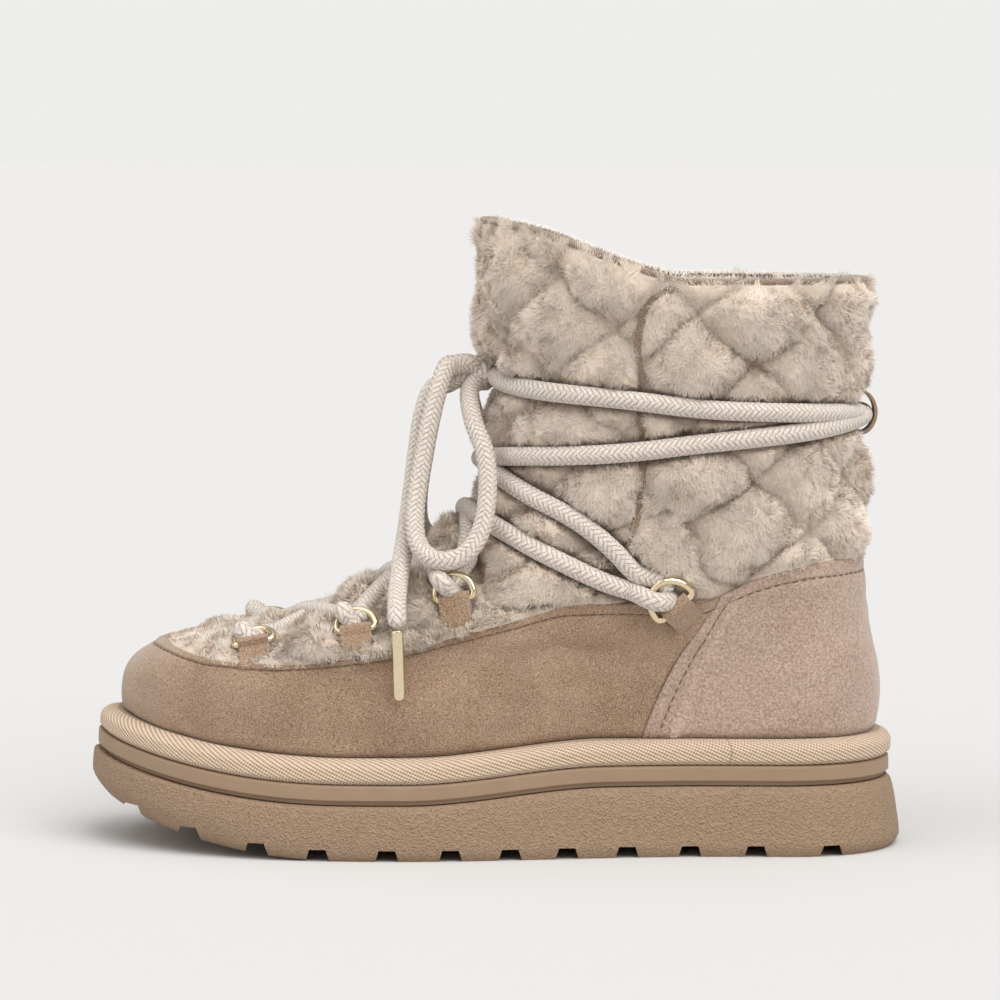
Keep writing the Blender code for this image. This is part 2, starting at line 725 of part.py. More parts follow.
def upper():
    """Hollow quilted shell, thinner where the suede lies over it."""
    outer, inner = [], []
    for level in SUEDE_LEVELS + (0.0,) + PLUSH_LEVELS:
        points = course(level, column_angles(level))
        if level <= 0.0:
            offset = np.full(COLUMNS, -RAND_THICK - GAP)
        else:
            offset = quilt_offset(points, level, seam_angle(level))
        outer.append(proud(points, offset))
        inner.append(proud(points, np.full(COLUMNS, -LINING_DEPTH)))
    lining = [*inner[::-LINING_STRIDE], inner[0]]
    part = loft("upper", outer + lining, PLUSH, cap="hollow")
    smooth_shaded(part, 60.0)


def counter_angle(level):
    """Where the front edge of the heel counter crosses a course under the suede edge."""
    low, high = COUNTER_EDGE
    angles = np.linspace(20.0, 120.0, 401)
    points = course(level, angles)
    edge = low.x + (high.x - low.x) * (points[:, 2] - low.z) / (high.z - low.z)
    return float(np.interp(0.0, points[:, 0] - edge, angles))


def suede_panel(name, angles_at, outer):
    """A panel from the feather line to the suede edge, over the recessed wall."""
    levels = SUEDE_LEVELS + (SUEDE_TOP,)
    face = np.array([course(level, angles_at(level)) for level in levels])
    front = proud(face, np.full(face.shape[:2], outer))
    back = proud(face, np.full(face.shape[:2], -RAND_THICK))
    sections = np.concatenate([front, back[::-1]]).transpose(1, 0, 2)
    part = loft(name, sections, SUEDE, cap="flat")
    smooth_shaded(part)


def rand_angles(level):
    edge = counter_angle(level)
    inside = [angle for angle in column_angles(level) if RAND_START < angle < 360.0 - RAND_START]
    return np.array([edge + 0.5, *inside, 359.5 - edge])


def counter_angles(level):
    edge = counter_angle(level)
    inside = [angle for angle in column_angles(level) if angle < COUNTER_END]
    return np.array([-edge, *(-angle for angle in inside[:0:-1]), *inside, edge])


def suede():
    suede_panel("vamp_rand", rand_angles, 0.0)
    suede_panel("heel_counter", counter_angles, COUNTER_PROUD)


def bindings():
    """Suede bound edges: round the collar and down the front of each quarter."""
    rim = course(1.0, column_angles(1.0))
    inside = -LINING_DEPTH - BINDING_INSIDE
    section = ((BINDING_LIP, GAP), (BINDING_LIP, BINDING_HEIGHT), (inside, BINDING_HEIGHT), (inside, GAP))
    rings = [proud(rim, np.full(COLUMNS, offset)) * (1, 1, 0) + rim * (0, 0, 1) + (0, 0, height)
             for offset, height in section]
    part = loft("collar_binding", rings, SUEDE, cap="hollow")
    smooth_shaded(part)
    for name, side in SIDES.items():
        sections = []
        for level in np.linspace(*STRIP_LEVELS):
            middle = seam_angle(level)
            edges = []
            for lean in (-0.5, 0.5):
                angle = middle + lean * BINDING_WIDTH
                edges.append(course(level, angle if side > 0 else 360.0 - angle))
            edges = np.array(edges)
            dip = STRIP_DIP * (1.0 - free_of_laces(edges))
            sections.append(np.vstack([proud(edges, STRIP_FACE - dip), proud(edges, STRIP_BACK - dip)[::-1]]))
        loft("quarter_binding_" + name, sections, SUEDE, cap="flat")


# Rings, tabs and the keeper


def ring_frame(ring, side):
    """Centre of the bar, direction along it, direction of the pull and outward normal."""
    spot = last_point(np.array([ring.x]), np.array([ring.z]), side)
    normal = last_normal(spot)[0]
    near = last_point(np.array([ring.x + ring.pull_x]), np.array([ring.z + ring.pull_z]), side)
    pull = (near - spot)[0]
    pull -= normal * pull.dot(normal)
    pull /= np.linalg.norm(pull)
    height = ring.wire / 2 + GAP + TAB_THICK + GAP + ring.lift
    return spot[0] + normal * height, np.cross(pull, normal), pull, normal


def ring_and_tab(name, ring, side):
    centre, along, pull, normal = ring_frame(ring, side)
    half = ring.bar / 2 + ring.wire / 2
    turns = np.radians(np.linspace(0, 180, 9))
    outline = [(half * math.cos(turn), ring.height * math.sin(turn)) for turn in turns]
    outline += [(-half / 3, 0.0), (half / 3, 0.0)]
    tube("ring_" + name, [centre + along * a + pull * b for a, b in outline], ring.wire, GOLD,
         closed=True, sides_step=1)
    hole = ring.wire / 2 + GAP
    fold = hole + TAB_THICK
    section = [(-ring.tail, -fold), (-ring.tail * TAB_KNEE, -fold)]
    section += [(fold * math.cos(turn), fold * math.sin(turn))
                for turn in np.radians((-90, -45, 0, 45, 90, 125))]
    section += [(-ring.tail * TAB_SHOULDER, TAB_SHOULDER_LIFT), (-ring.tail, -fold + TAB_PLIES * TAB_THICK)]
    rounds = [math.atan2(b, a) for a, b in section]
    bore = [(hole * math.cos(turn), hole * math.sin(turn)) for turn in rounds]
    rings = []
    for outline, shift in ((section, -0.5), (section, 0.5), (bore, 0.5), (bore, -0.5)):
        rings.append([centre + along * shift * TAB_WIDTH + pull * a + normal * b for a, b in outline])
    loft("tab_" + name, rings, SUEDE, cap="hollow")


def hardware():
    for side_name, side in SIDES.items():
        for place, ring in RINGS.items():
            ring_and_tab(side_name + "_" + place, ring, side)


def keeper():
    """Suede loop at the back that holds both turns of the lace."""
    turns = np.radians(np.linspace(-90, 90, 9))
    back = SLICE_AT["back"](KEEPER_HEIGHT) - GAP
    outer = [(back - KEEPER_DEPTH * math.cos(turn), KEEPER_HEIGHT + KEEPER_HALF_SPAN * math.sin(turn))
             for turn in turns]
    inner = [(back - (KEEPER_DEPTH - TAB_THICK) * math.cos(turn),
              KEEPER_HEIGHT + (KEEPER_HALF_SPAN - TAB_THICK) * math.sin(turn)) for turn in turns]
    section = outer + inner[::-1]
    rings = [[(x, y, z) for x, z in section] for y in (-KEEPER_WIDTH / 2, KEEPER_WIDTH / 2)]
    loft("back_keeper", rings, SUEDE, cap="flat")


# Lace


def joined_lace(name, runs):
    strands = []
    for i, run in enumerate(runs):
        strand = tube(f"{name}_strand_{i}", run, LACE_DIAMETER, CORD)
        strands.append(as_mesh(strand))
    strands[0].name = name
    combine(strands[0], strands[1:], "UNION")


def stood_off(place):
    return lambda route: proud(place(route), np.full(len(route), LACE_STAND_OFF))


def laces():
    for name, strands, place in (
        ("lace_vamp", VAMP_STRANDS, on_vamp),
        ("lace_ankle", SHAFT_STRANDS, on_shaft),
    ):
        joined_lace(name, [smooth_route(route, LACE_STEP, stood_off(place)) for route in strands])


def bow():
    knot_x = SLICE_AT["front"](KNOT_HEIGHT) + KNOT_STAND_OFF
    bm = bmesh.new()
    bmesh.ops.create_uvsphere(bm, u_segments=10, v_segments=7, radius=MM)
    bmesh.ops.scale(bm, vec=KNOT_RADII, verts=bm.verts)
    mesh = bpy.data.meshes.new("lace_knot")
    bm.to_mesh(mesh)
    bm.free()
    knot = add_part("lace_knot", mesh, CORD)
    knot.location = (knot_x * MM, 0.0, KNOT_HEIGHT * MM)
    for name, side in SIDES.items():
        turn = list if side > 0 else flipped
        tube("bow_loop_" + name, smooth_route(turn(BOW_LOOP), LACE_STEP), LACE_DIAMETER, CORD)
        tube("lace_end_" + name, smooth_route(turn(LACE_END), END_STEP), LACE_DIAMETER, CORD)
        tube("aglet_" + name, turn((AGLET_TOP, AGLET_FOOT)), AGLET_DIAMETER, GOLD)


outsole()
sole_layer("midsole", MIDSOLE, OUTSOLE_TOP, MIDSOLE_TOP - GAP, FOAM)
sole_layer("platform_wrap", PLATFORM, MIDSOLE_TOP, PLATFORM_TOP, TAPE)
insole()
upper()
suede()
bindings()
hardware()
keeper()
laces()
bow()
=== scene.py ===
"""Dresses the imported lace-up ankle boot: plush, suede, braided cord, plated rings and moulded sole.

Tables and functions are in millimetres and objects in metres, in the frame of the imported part: +X points
to the toe, +Y to the outer side and +Z up. The shape of the last and the lace routes repeat the part's own.
"""

import math
from collections import namedtuple

import bpy
import numpy as np
from mathutils import Matrix, kdtree


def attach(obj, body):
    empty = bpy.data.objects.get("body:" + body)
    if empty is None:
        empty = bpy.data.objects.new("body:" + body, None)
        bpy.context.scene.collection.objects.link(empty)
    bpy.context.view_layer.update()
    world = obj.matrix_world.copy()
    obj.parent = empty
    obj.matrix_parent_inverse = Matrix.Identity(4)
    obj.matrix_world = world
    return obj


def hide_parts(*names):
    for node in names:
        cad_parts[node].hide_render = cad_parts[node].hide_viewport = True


bl_info = {
    "name": "Lace-up ankle boot",
    "version": (1, 0, 0),
    "blender": (4, 5, 0),
    "location": "View3D > Sidebar > Boot",
    "description": "Builds the plush, suede, cord, metal and sole pieces of a lace-up ankle boot",
    "category": "Add Mesh",
}

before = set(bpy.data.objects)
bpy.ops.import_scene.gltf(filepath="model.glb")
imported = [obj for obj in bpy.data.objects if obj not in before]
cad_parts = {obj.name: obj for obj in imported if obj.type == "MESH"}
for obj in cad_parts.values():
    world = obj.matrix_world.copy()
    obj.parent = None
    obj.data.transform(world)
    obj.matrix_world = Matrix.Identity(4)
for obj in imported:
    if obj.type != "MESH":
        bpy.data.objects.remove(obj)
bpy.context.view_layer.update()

MM = 0.001
GAP = 0.3

# Layers of the sole at the ball, above the floor
OUTSOLE_TOP = 19.0
MIDSOLE_TOP = 26.2
PLATFORM_TOP = 34.6

# Toe spring and heel rise
SPRING_START = 50.0
SPRING_END = 130.0
FLOOR_SPRING = 12.8
UPPER_SPRING = 10.2
RISE_START = 30.0
RISE_END = -38.0
HEEL_RISE = 5.2

# Curve of the left last: the ball leans out and the toe turns in
BALL_LEAN = 0.85
TOE_TURN = 7.0
LEAN_START = -60.0
LEAN_END = 40.0
TURN_END = 140.0

# Waist: share of the length where the heel's width turns into the ball's, and the nip under the arch
WIDTH_START = 0.22
WIDTH_END = 0.64
WAIST_NIP = 2.5
NIP_PLACE = -28.0
NIP_REACH = 34.0
NIP_LOW = 45.0
NIP_HIGH = 90.0

# Wall of the upper
RAND_THICK = 1.6
COUNTER_PROUD = 0.7
LINING_DEPTH = 4.6
SEAM_SINK = 0.4
PRESS_SINK = 2.4
EDGE_PUFF = 0.5
RIM_PUFF = 0.4
BINDING_HEIGHT = 2.2
BINDING_DRAWN = 2.4
STRIP_WIDTH = 2.7
STRIP_FACE = 0.4
STRIP_BACK = -0.8
STRIP_DIP = 2.4
STRIP_STEP = 0.75

# Quilting: nodes of the diamonds in degrees round the shaft and millimetres up
Quilt = namedtuple("Quilt", "angle height half_angle half_height")
SEAM_MARGIN = 3.6
QUILT_SINK = 0.25
QUILT_SWAY = 0.035
QUILT_SWAY_SIZE = 26.0
TOE_FUR = (100.0, 116.0)
TOE_FALL = (55.0, 88.0)
TOE_FLAT = 0.6
TOE_THIN = 0.75
VAMP = (0.0, 30.0)
RIM_MARGIN = 0.06
EDGE_MARGIN = 0.05
BIB_QUILT = Quilt(130.8, 198.7, 22.2, 18.7)
QUARTER_QUILT = Quilt(65.2, 166.8, 20.5, 18.7)
FRONT_BLEND = (0.15, 0.8)
UNROLL = (90.0, 140.0)

# Lugs
LUG_GAPS = (125.5, 104.5, 81.0, 60.0, 36.5, 15.0, -5.2, -24.5, -45.0, -66.5, -89.0, -115.0)
LUG_GAP_WIDTH = 8.0
LUG_GAP_ROOF = 5.6
LUG_DEPTH = 3.9
LUG_REACH = 22.0
LUG_PAST = 8.0
CENTRE_BLOCK = 17.0

# Lace and hardware
LACE_STAND_OFF = 2.7
BACK_PRESS = 2.0
FRONT_PRESS = 2.4
TOE_PRESS = 1.4
BACK_REACH = 30.0
FRONT_REACH = 24.0
CROSS_REACH = 11.0
CROSS_CALM = 0.4
CROSS_OVER = 2.4
CROSS_UNDER = -0.9
DENT_CORE = 2.0
DENT_REACH = 6.0
TAB_CORE = 5.0
TAB_REACH = 9.0
TAB_WIDTH = 10.6
TAB_THICK = 1.2
TAB_SHOULDER = 0.6
TAB_SHOULDER_LIFT = -0.15
TAB_TUCK = 4.4
TAB_SINK = 3.4
KEEPER_HEIGHT = 150.0
KEEPER_HALF_SPAN = 8.0
KEEPER_DEPTH = 6.4
KEEPER_WIDTH = 10.0

# Horizontal slices of the last
Slice = namedtuple("Slice", "z back front rear_half fore_half rear_round fore_round")
SLICES = (
    Slice(30.0, -131.0, 127.5, 33.0, 47.0, 37.0, 74.0),
    Slice(42.0, -132.2, 130.0, 33.5, 47.5, 37.0, 74.0),
    Slice(50.0, -133.0, 131.0, 34.0, 47.8, 37.0, 74.0),
    Slice(57.0, -133.0, 130.2, 34.3, 47.6, 37.0, 74.0),
    Slice(63.0, -132.5, 127.2, 34.5, 46.9, 37.0, 74.0),
    Slice(68.0, -131.6, 121.0, 34.8, 46.1, 38.0, 74.0),
    Slice(70.8, -130.9, 110.0, 35.0, 45.4, 39.0, 74.0),
    Slice(72.8, -130.3, 95.0, 35.3, 44.9, 40.0, 73.5),
    Slice(75.2, -129.6, 79.0, 35.7, 44.4, 41.0, 73.0),
    Slice(79.0, -128.9, 63.5, 36.2, 43.8, 42.0, 72.0),
    Slice(85.0, -128.3, 48.5, 37.2, 43.0, 44.0, 71.0),
    Slice(92.0, -127.7, 36.0, 38.4, 42.4, 46.0, 70.0),
    Slice(101.5, -127.0, 22.0, 40.0, 42.2, 49.0, 69.0),
    Slice(111.0, -126.3, 12.0, 41.6, 42.6, 52.0, 67.0),
    Slice(123.0, -125.6, 6.5, 43.0, 43.4, 55.0, 65.0),
    Slice(135.0, -125.2, 3.6, 44.4, 44.6, 58.0, 63.0),
    Slice(165.0, -125.2, 0.6, 46.8, 46.6, 61.0, 63.0),
    Slice(182.0, -127.2, 3.8, 48.4, 48.0, 64.0, 65.0),
    Slice(200.0, -128.0, 5.6, 49.4, 49.0, 65.0, 66.0),
    Slice(220.0, -128.0, 5.8, 49.8, 49.4, 65.0, 66.0),
)
ROUND_POWER = 2.3

# Lines on the side of the boot, from the back to the front
Line = namedtuple("Line", "x z")
SUEDE_EDGE = (
    Line(-127.1, 101.0),
    Line(-110.0, 100.4),
    Line(-99.0, 98.5),
    Line(-88.0, 95.0),
    Line(-79.0, 90.5),
    Line(-70.0, 87.0),
    Line(-50.0, 87.2),
    Line(-28.0, 86.6),
    Line(-8.0, 81.4),
    Line(12.0, 76.0),
    Line(32.0, 70.8),
    Line(52.0, 67.7),
    Line(72.0, 65.8),
    Line(92.0, 66.0),
    Line(102.0, 67.2),
    Line(109.0, 68.7),
    Line(114.4, 69.9),
)
COLLAR = (
    Line(-127.8, 195.0),
    Line(-64.0, 195.0),
    Line(-56.0, 196.6),
    Line(-10.0, 211.8),
    Line(5.8, 215.0),
)
QUARTER_SEAM = (
    Line(-32.0, 88.0),
    Line(-38.0, 97.0),
    Line(-43.6, 106.0),
    Line(-48.0, 118.0),
    Line(-49.2, 133.0),
    Line(-48.3, 160.0),
    Line(-47.3, 174.0),
    Line(-48.8, 184.0),
    Line(-52.2, 190.2),
    Line(-57.0, 193.4),
)
# The strip on that edge starts above the suede and ends along the collar
STRIP_FOOT = Line(-33.2, 89.8)
STRIP_TOP = (Line(-64.6, 194.4), Line(-74.0, 194.6))
COUNTER_EDGE = (
    Line(-48.0, 35.0),
    Line(-55.8, 55.0),
    Line(-63.4, 69.6),
    Line(-69.6, 78.5),
    Line(-76.0, 88.0),
)

# Outlines of the sole, layer by layer: level is the share of the layer's height
Outline = namedtuple("Outline", "level back front rear_half fore_half")
OUTSOLE = (
    Outline(0.0, -139.2, 131.0, 39.2, 51.6),
    Outline(0.14, -141.2, 137.0, 40.6, 53.4),
    Outline(0.5, -140.2, 141.2, 40.2, 53.8),
    Outline(0.96, -137.8, 140.6, 38.9, 53.2),
    Outline(1.0, -136.6, 139.2, 37.8, 52.0),
)
MIDSOLE = (
    Outline(0.0, -135.6, 137.2, 36.8, 51.0),
    Outline(0.16, -135.6, 137.2, 36.8, 51.0),
    Outline(0.26, -137.3, 139.2, 38.4, 52.8),
    Outline(0.9, -137.2, 139.0, 38.3, 52.6),
    Outline(1.0, -136.4, 138.2, 37.6, 51.9),
)
PLATFORM = (
    Outline(0.0, -136.2, 137.0, 37.4, 51.6),
    Outline(0.2, -137.8, 138.6, 38.8, 53.0),
    Outline(0.55, -138.0, 138.2, 38.9, 52.9),
    Outline(0.85, -136.8, 136.0, 37.6, 51.4),
    Outline(1.0, -134.2, 132.4, 35.0, 48.8),
)
SOLE_REAR_ROUND = 42.0
SOLE_FORE_ROUND = 78.0
INSOLE_INSET = 6.0
INSOLE_THICK = 3.6

# Rings: where the bar sits on the last, the way the lace pulls it, and its size
Ring = namedtuple("Ring", "x z pull_x pull_z bar height wire lift tail tilt hump")
RINGS = {
    "1": Ring(82.0, 70.6, 0.0, 1.0, 11.6, 8.6, 1.9, -0.6, 7.2, 4.0, 0.5),
    "2": Ring(47.0, 74.6, 0.0, 1.0, 11.6, 8.6, 1.9, 0.4, 8.6, 24.0, 0.9),
    "3": Ring(13.0, 86.0, 0.0, 1.0, 11.6, 8.6, 1.9, 0.9, 12.4, 24.0, 1.0),
    "ankle": Ring(-60.8, 86.2, 0.66, 0.75, 13.0, 10.5, 2.1, 0.8, 10.6, 0.0, 1.0),
}
SIDES = {"lateral": 1, "medial": -1}

# Lace routes over the last. Strand points are degrees round the shaft and height
ANKLE_CROSS = (
    (223.0, 97.5), (213.0, 102.0), (198.0, 110.0), (180.0, 115.5), (162.0, 115.0),
    (143.7, 111.0), (118.3, 102.5), (98.0, 94.5), (85.8, 90.2),
)
WRAP = (
    (273.0, 94.6), (266.0, 99.0), (255.6, 107.0), (237.3, 118.0), (204.8, 129.0), (180.0, 133.0),
    (157.9, 135.0), (112.0, 138.0), (82.0, 142.0), (53.7, 145.0), (0.0, 149.5), (-53.7, 152.0),
    (-82.0, 153.5), (-112.0, 157.0), (-150.0, 159.5), (-167.0, 161.0), (-179.0, 162.6),
)
# Points over the vamp are plan positions, on the outer side first
TOE_BAR = ((79.5, 27.0), (84.5, 15.0), (86.5, 0.0), (84.5, -15.0), (79.5, -27.0))
VAMP_CROSSES = (
    ((78.0, 27.0), (72.5, 14.0), (65.0, 0.0), (57.0, -15.0), (49.5, -28.5)),
    ((48.0, 28.5), (42.0, 15.0), (35.0, 0.0), (26.0, -15.0), (17.5, -28.5)),
)
KNOT_HEIGHT = 163.0
KNOT_STAND_OFF = 4.8
BOW_LOOP = (
    (5.6, 2.0, 162.4), (9.8, 4.9, 165.9), (14.7, 7.4, 165.5), (17.6, 11.0, 164.5),
    (20.0, 15.0, 158.5), (22.6, 18.5, 148.0), (25.3, 21.5, 134.0), (27.6, 26.0, 118.5),
    (27.2, 32.0, 108.0), (23.2, 37.5, 102.5), (16.5, 41.6, 101.2), (9.5, 42.0, 104.5),
    (4.8, 39.6, 112.5), (3.0, 35.5, 125.0), (4.0, 31.0, 137.0), (8.0, 23.5, 147.5),
    (9.6, 11.4, 156.0), (7.6, 5.0, 160.2), (5.6, 1.6, 162.2),
)
LACE_END = (
    (6.6, 1.4, 161.4), (11.6, 3.0, 161.6), (17.4, 4.6, 159.2), (22.5, 6.0, 157.0),
    (25.6, 8.0, 149.0), (27.6, 11.0, 135.5), (29.3, 14.6, 121.5), (30.8, 20.0, 110.0),
    (32.2, 28.2, 100.5), (33.2, 36.8, 92.8), (33.5, 45.0, 87.8), (33.4, 49.6, 84.6),
    (33.3, 51.7, 82.0), (33.2, 51.9, 79.6),
)
AGLET_TOP = (33.2, 51.9, 78.6)
AGLET_FOOT = (32.4, 52.5, 54.8)

# Camera, fitted to the photograph
CAMERA_PLACE = (-1.2, 1480.0, 240.0)
CAMERA_PITCH = 4.69
CAMERA_ROLL = 0.25
CAMERA_LENS = 153.6
CAMERA_SENSOR = 36.0

# The pile and the smooth noises are scattered with one seed
SEED = 7


# Shape of the last


def smooth_table(places, values):
    """A monotone cubic through a table, as a function of place."""
    places = np.array(places, float)
    values = np.array(values, float)
    steps = np.diff(places)
    slopes = np.diff(values) / steps
    tangents = np.concatenate([slopes[:1], np.zeros(len(slopes) - 1), slopes[-1:]])
    for i in range(1, len(slopes)):
        if slopes[i - 1] * slopes[i] > 0:
            tangents[i] = 2 * slopes[i - 1] * slopes[i] / (slopes[i - 1] + slopes[i])

    def at(place):
        place = np.clip(place, places[0], places[-1])
        i = np.clip(np.searchsorted(places, place, side="right") - 1, 0, len(steps) - 1)
        t = (place - places[i]) / steps[i]
        rise = t * t * (3 - 2 * t)
        start = t * (1 - t) ** 2 * steps[i]
        end = -t * t * (1 - t) * steps[i]
        return values[i] + rise * (values[i + 1] - values[i]) + start * tangents[i] + end * tangents[i + 1]

    return at


def ease(low, high, value):
    """0 below low, 1 above high and smooth between."""
    t = np.clip((value - low) / (high - low), 0.0, 1.0)
    return t * t * (3 - 2 * t)


def hill(distance, reach):
    """1 at no distance, and falling to 0 beyond a reach."""
    return np.exp(-((distance / reach) ** 2))


def at_least(least, share):
    """A least value at a share of 0, and 1 at a share of 1."""
    return least + (1.0 - least) * share


SLICE_AT = {
    column: smooth_table([row.z for row in SLICES], [getattr(row, column) for row in SLICES])
    for column in Slice._fields[1:]
}


def toe_lift(x, spring=UPPER_SPRING):
    return spring * np.maximum((x - SPRING_START) / (SPRING_END - SPRING_START), 0.0) ** 2


def floor_lift(x):
    return toe_lift(x, FLOOR_SPRING)


def heel_lift(x):
    return HEEL_RISE * (1.0 - ease(RISE_END, RISE_START, x))


def centre_line(x):
    """Sideways place of the middle of the last."""
    return BALL_LEAN * ease(LEAN_START, LEAN_END, x) - TOE_TURN * ease(LEAN_END, TURN_END, x)


def round_off(distance, reach):
    """Squared share of the width at a distance from the end of a rounded outline."""
    return 1.0 - np.maximum((reach - distance) / reach, 0.0) ** ROUND_POWER


def outline_sq(x, back, front, rear_half, fore_half, rear_round, fore_round):
    """Squared half width of a foot shaped outline."""
    along = (x - back) / (front - back)
    width = rear_half + (fore_half - rear_half) * ease(WIDTH_START, WIDTH_END, along)
    return width**2 * round_off(x - back, rear_round) * round_off(front - x, fore_round)


def half_width_sq(x, z):
    """Squared half width of the last at a place on its side view."""
    row = {column: SLICE_AT[column](z) for column in Slice._fields[1:]}
    nip = WAIST_NIP * hill(x - NIP_PLACE, NIP_REACH) * (1.0 - ease(NIP_LOW, NIP_HIGH, z))
    full = outline_sq(x, **row)
    return full * (1.0 - nip / row["rear_half"]) ** 2


def last_point(x, z, side):
    y = centre_line(x) + side * np.sqrt(np.maximum(half_width_sq(x, z), 0.0))
    return np.stack(np.broadcast_arrays(x, y, z), axis=-1).astype(float)


def last_normal(points):
    """Outward normals of the last at points on it."""
    x, y, z = points[..., 0], points[..., 1], points[..., 2]
    step = 0.25
    off_centre = y - centre_line(x)
    turn = (centre_line(x + step) - centre_line(x - step)) / (2 * step)
    along = (half_width_sq(x + step, z) - half_width_sq(x - step, z)) / (2 * step)
    up = (half_width_sq(x, z + step) - half_width_sq(x, z - step)) / (2 * step)
    return unit(np.stack([-along - 2 * off_centre * turn, 2 * off_centre, -up], axis=-1))


def unit(vectors):
    return vectors / np.maximum(np.linalg.norm(vectors, axis=-1, keepdims=True), 1e-9)


def proud(points, offset):
    """Points of the last moved out along its normals."""
    return points + last_normal(points) * np.asarray(offset)[..., None]


def line_over_share(lines):
    """Height of a side line as a function of the share of its length."""
    xs = [line.x for line in lines]
    height = smooth_table(xs, [line.z for line in lines])
    return lambda share: height(xs[0] + share * (xs[-1] - xs[0]))


def feather_height(share):
    x = SLICES[1].back + share * (SLICES[1].front - SLICES[1].back)
    return PLATFORM_TOP + GAP + toe_lift(x) + heel_lift(x)


EDGE_HEIGHT = line_over_share(SUEDE_EDGE)
COLLAR_HEIGHT = line_over_share(COLLAR)


def front_rise_table():
    """Length of the front profile from suede edge to collar, and its rise by shares of that length."""
    z = np.linspace(EDGE_HEIGHT(1.0), COLLAR_HEIGHT(1.0), 300)
    x = SLICE_AT["front"](z)
    run = np.concatenate([[0.0], np.cumsum(np.hypot(np.diff(x), np.diff(z)))])
    return run[-1], run / run[-1], (z - z[0]) / (z[-1] - z[0])


FRONT_LENGTH, FRONT_RUN, FRONT_SHARE = front_rise_table()


def course(level, angle):
    """Points on the last where a course lies: level -1 feather line, 0 suede edge, 1 collar.

    The angle runs in degrees from the back, over the outer side, to the front at 180 and on.
    """
    level = np.asarray(level, float)
    angle = np.radians(np.asarray(angle, float))

    def height(share):
        below = feather_height(share) + (EDGE_HEIGHT(share) - feather_height(share)) * (level + 1.0)
        front = np.interp(level, FRONT_RUN, FRONT_SHARE)
        mix = level + (front - level) * ease(*FRONT_BLEND, share)
        above = EDGE_HEIGHT(share) + (COLLAR_HEIGHT(share) - EDGE_HEIGHT(share)) * mix
        return np.where(level < 0, below, above)

    back = SLICE_AT["back"](height(np.zeros_like(angle)))
    front = SLICE_AT["front"](height(np.ones_like(angle)))
    share = (1.0 - np.cos(angle)) / 2.0
    return last_point(back + share * (front - back), height(share), np.where(np.sin(angle) >= 0, 1, -1))


SEAM_X = smooth_table([line.z for line in QUARTER_SEAM], [line.x for line in QUARTER_SEAM])


def crossing(level, edge_x, low, high):
    """Angle from low to high where a course crosses a line of the side view."""
    angles = np.linspace(low, high, 401)
    points = course(level, angles)
    return float(np.interp(0.0, points[:, 0] - edge_x(points[:, 2]), angles))


def seam_angle(level):
    """Where the front edge of the quarter crosses a course."""
    return crossing(max(level, 0.0), SEAM_X, 40.0, 140.0)


# Courses of the suede start just under its top edge
TOP_LEVEL = -0.001
COUNTER_X = smooth_table([line.z for line in COUNTER_EDGE], [line.x for line in COUNTER_EDGE])
COUNTER_LEVELS = np.linspace(-1.0, TOP_LEVEL, 41)
COUNTER_ANGLES = np.array([crossing(level, COUNTER_X, 20.0, 120.0) for level in COUNTER_LEVELS])


def smooth_route(route, step, place=None):
    """Points along a smooth curve through a route, about one step apart."""
    route = np.array(route, float)
    padded = np.vstack([2 * route[0] - route[1], route, 2 * route[-1] - route[-2]])
    t = np.linspace(0, 1, 24, endpoint=False)[:, None]
    runs = []
    for a, b, c, d in zip(padded, padded[1:], padded[2:], padded[3:]):
        runs.append(
            b + 0.5 * t * (c - a + t * (2 * a - 5 * b + 4 * c - d + t * (3 * (b - c) + d - a)))
        )
    curve = np.vstack(runs + [route[-1:]])
    if place is not None:
        curve = place(curve)
    return spaced(curve, step)


def spaced(curve, step):
    """A polyline resampled evenly, about one step apart."""
    length = np.concatenate([[0], np.cumsum(np.linalg.norm(np.diff(curve, axis=0), axis=1))])
    even = np.linspace(0, length[-1], max(2, round(length[-1] / step)) + 1)
    return np.stack([np.interp(even, length, curve[:, i]) for i in range(3)], axis=1)


def on_shaft(route):
    """Points of the last for angles round it and heights."""
    angle, z = np.radians(route[:, 0]), route[:, 1]
    back, front = SLICE_AT["back"](z), SLICE_AT["front"](z)
    x = back + (front - back) * (1.0 - np.cos(angle)) / 2.0
    return last_point(x, z, np.where(np.sin(angle) >= 0, 1, -1))


VAMP_LOW = 55.0
VAMP_HIGH = 130.0


def on_vamp(route):
    """Points on top of the last for plan positions on it."""
    x, y = route[:, 0], route[:, 1] + centre_line(route[:, 0])
    low, high = np.full(len(x), VAMP_LOW), np.full(len(x), VAMP_HIGH)
    for _ in range(40):
        middle = (low + high) / 2
        inside = (half_width_sq(x, middle) > route[:, 1] ** 2) & (x < SLICE_AT["front"](middle))
        low, high = np.where(inside, middle, low), np.where(inside, high, middle)
    return np.stack([x, y, (low + high) / 2], axis=1)


def other_side(route):
    """An angle route mirrored to the other side."""
    return [(360.0 - angle, z) for angle, z in route]


def flipped(route):
    """A plan or space route mirrored across the middle."""
    return [(point[0], -point[1], *point[2:]) for point in route]


def stood_off(place, lift):
    """Places for the middle of a lace: pressed in at the back, and over or under another in the middle."""

    def at(route):
        points = place(route)
        x, y, z = points.T
        back = 1.0 - ease(0.0, BACK_REACH, x - SLICE_AT["back"](z))
        front = 1.0 - ease(0.0, FRONT_REACH, SLICE_AT["front"](z) - x)
        middle = hill(y - centre_line(x), CROSS_REACH) * (1.0 - CROSS_CALM * np.maximum(back, front))
        press = BACK_PRESS * back + FRONT_PRESS * front + TOE_PRESS * ease(*TOE_FALL, x)
        return proud(points, LACE_STAND_OFF - press + lift * middle)

    return at


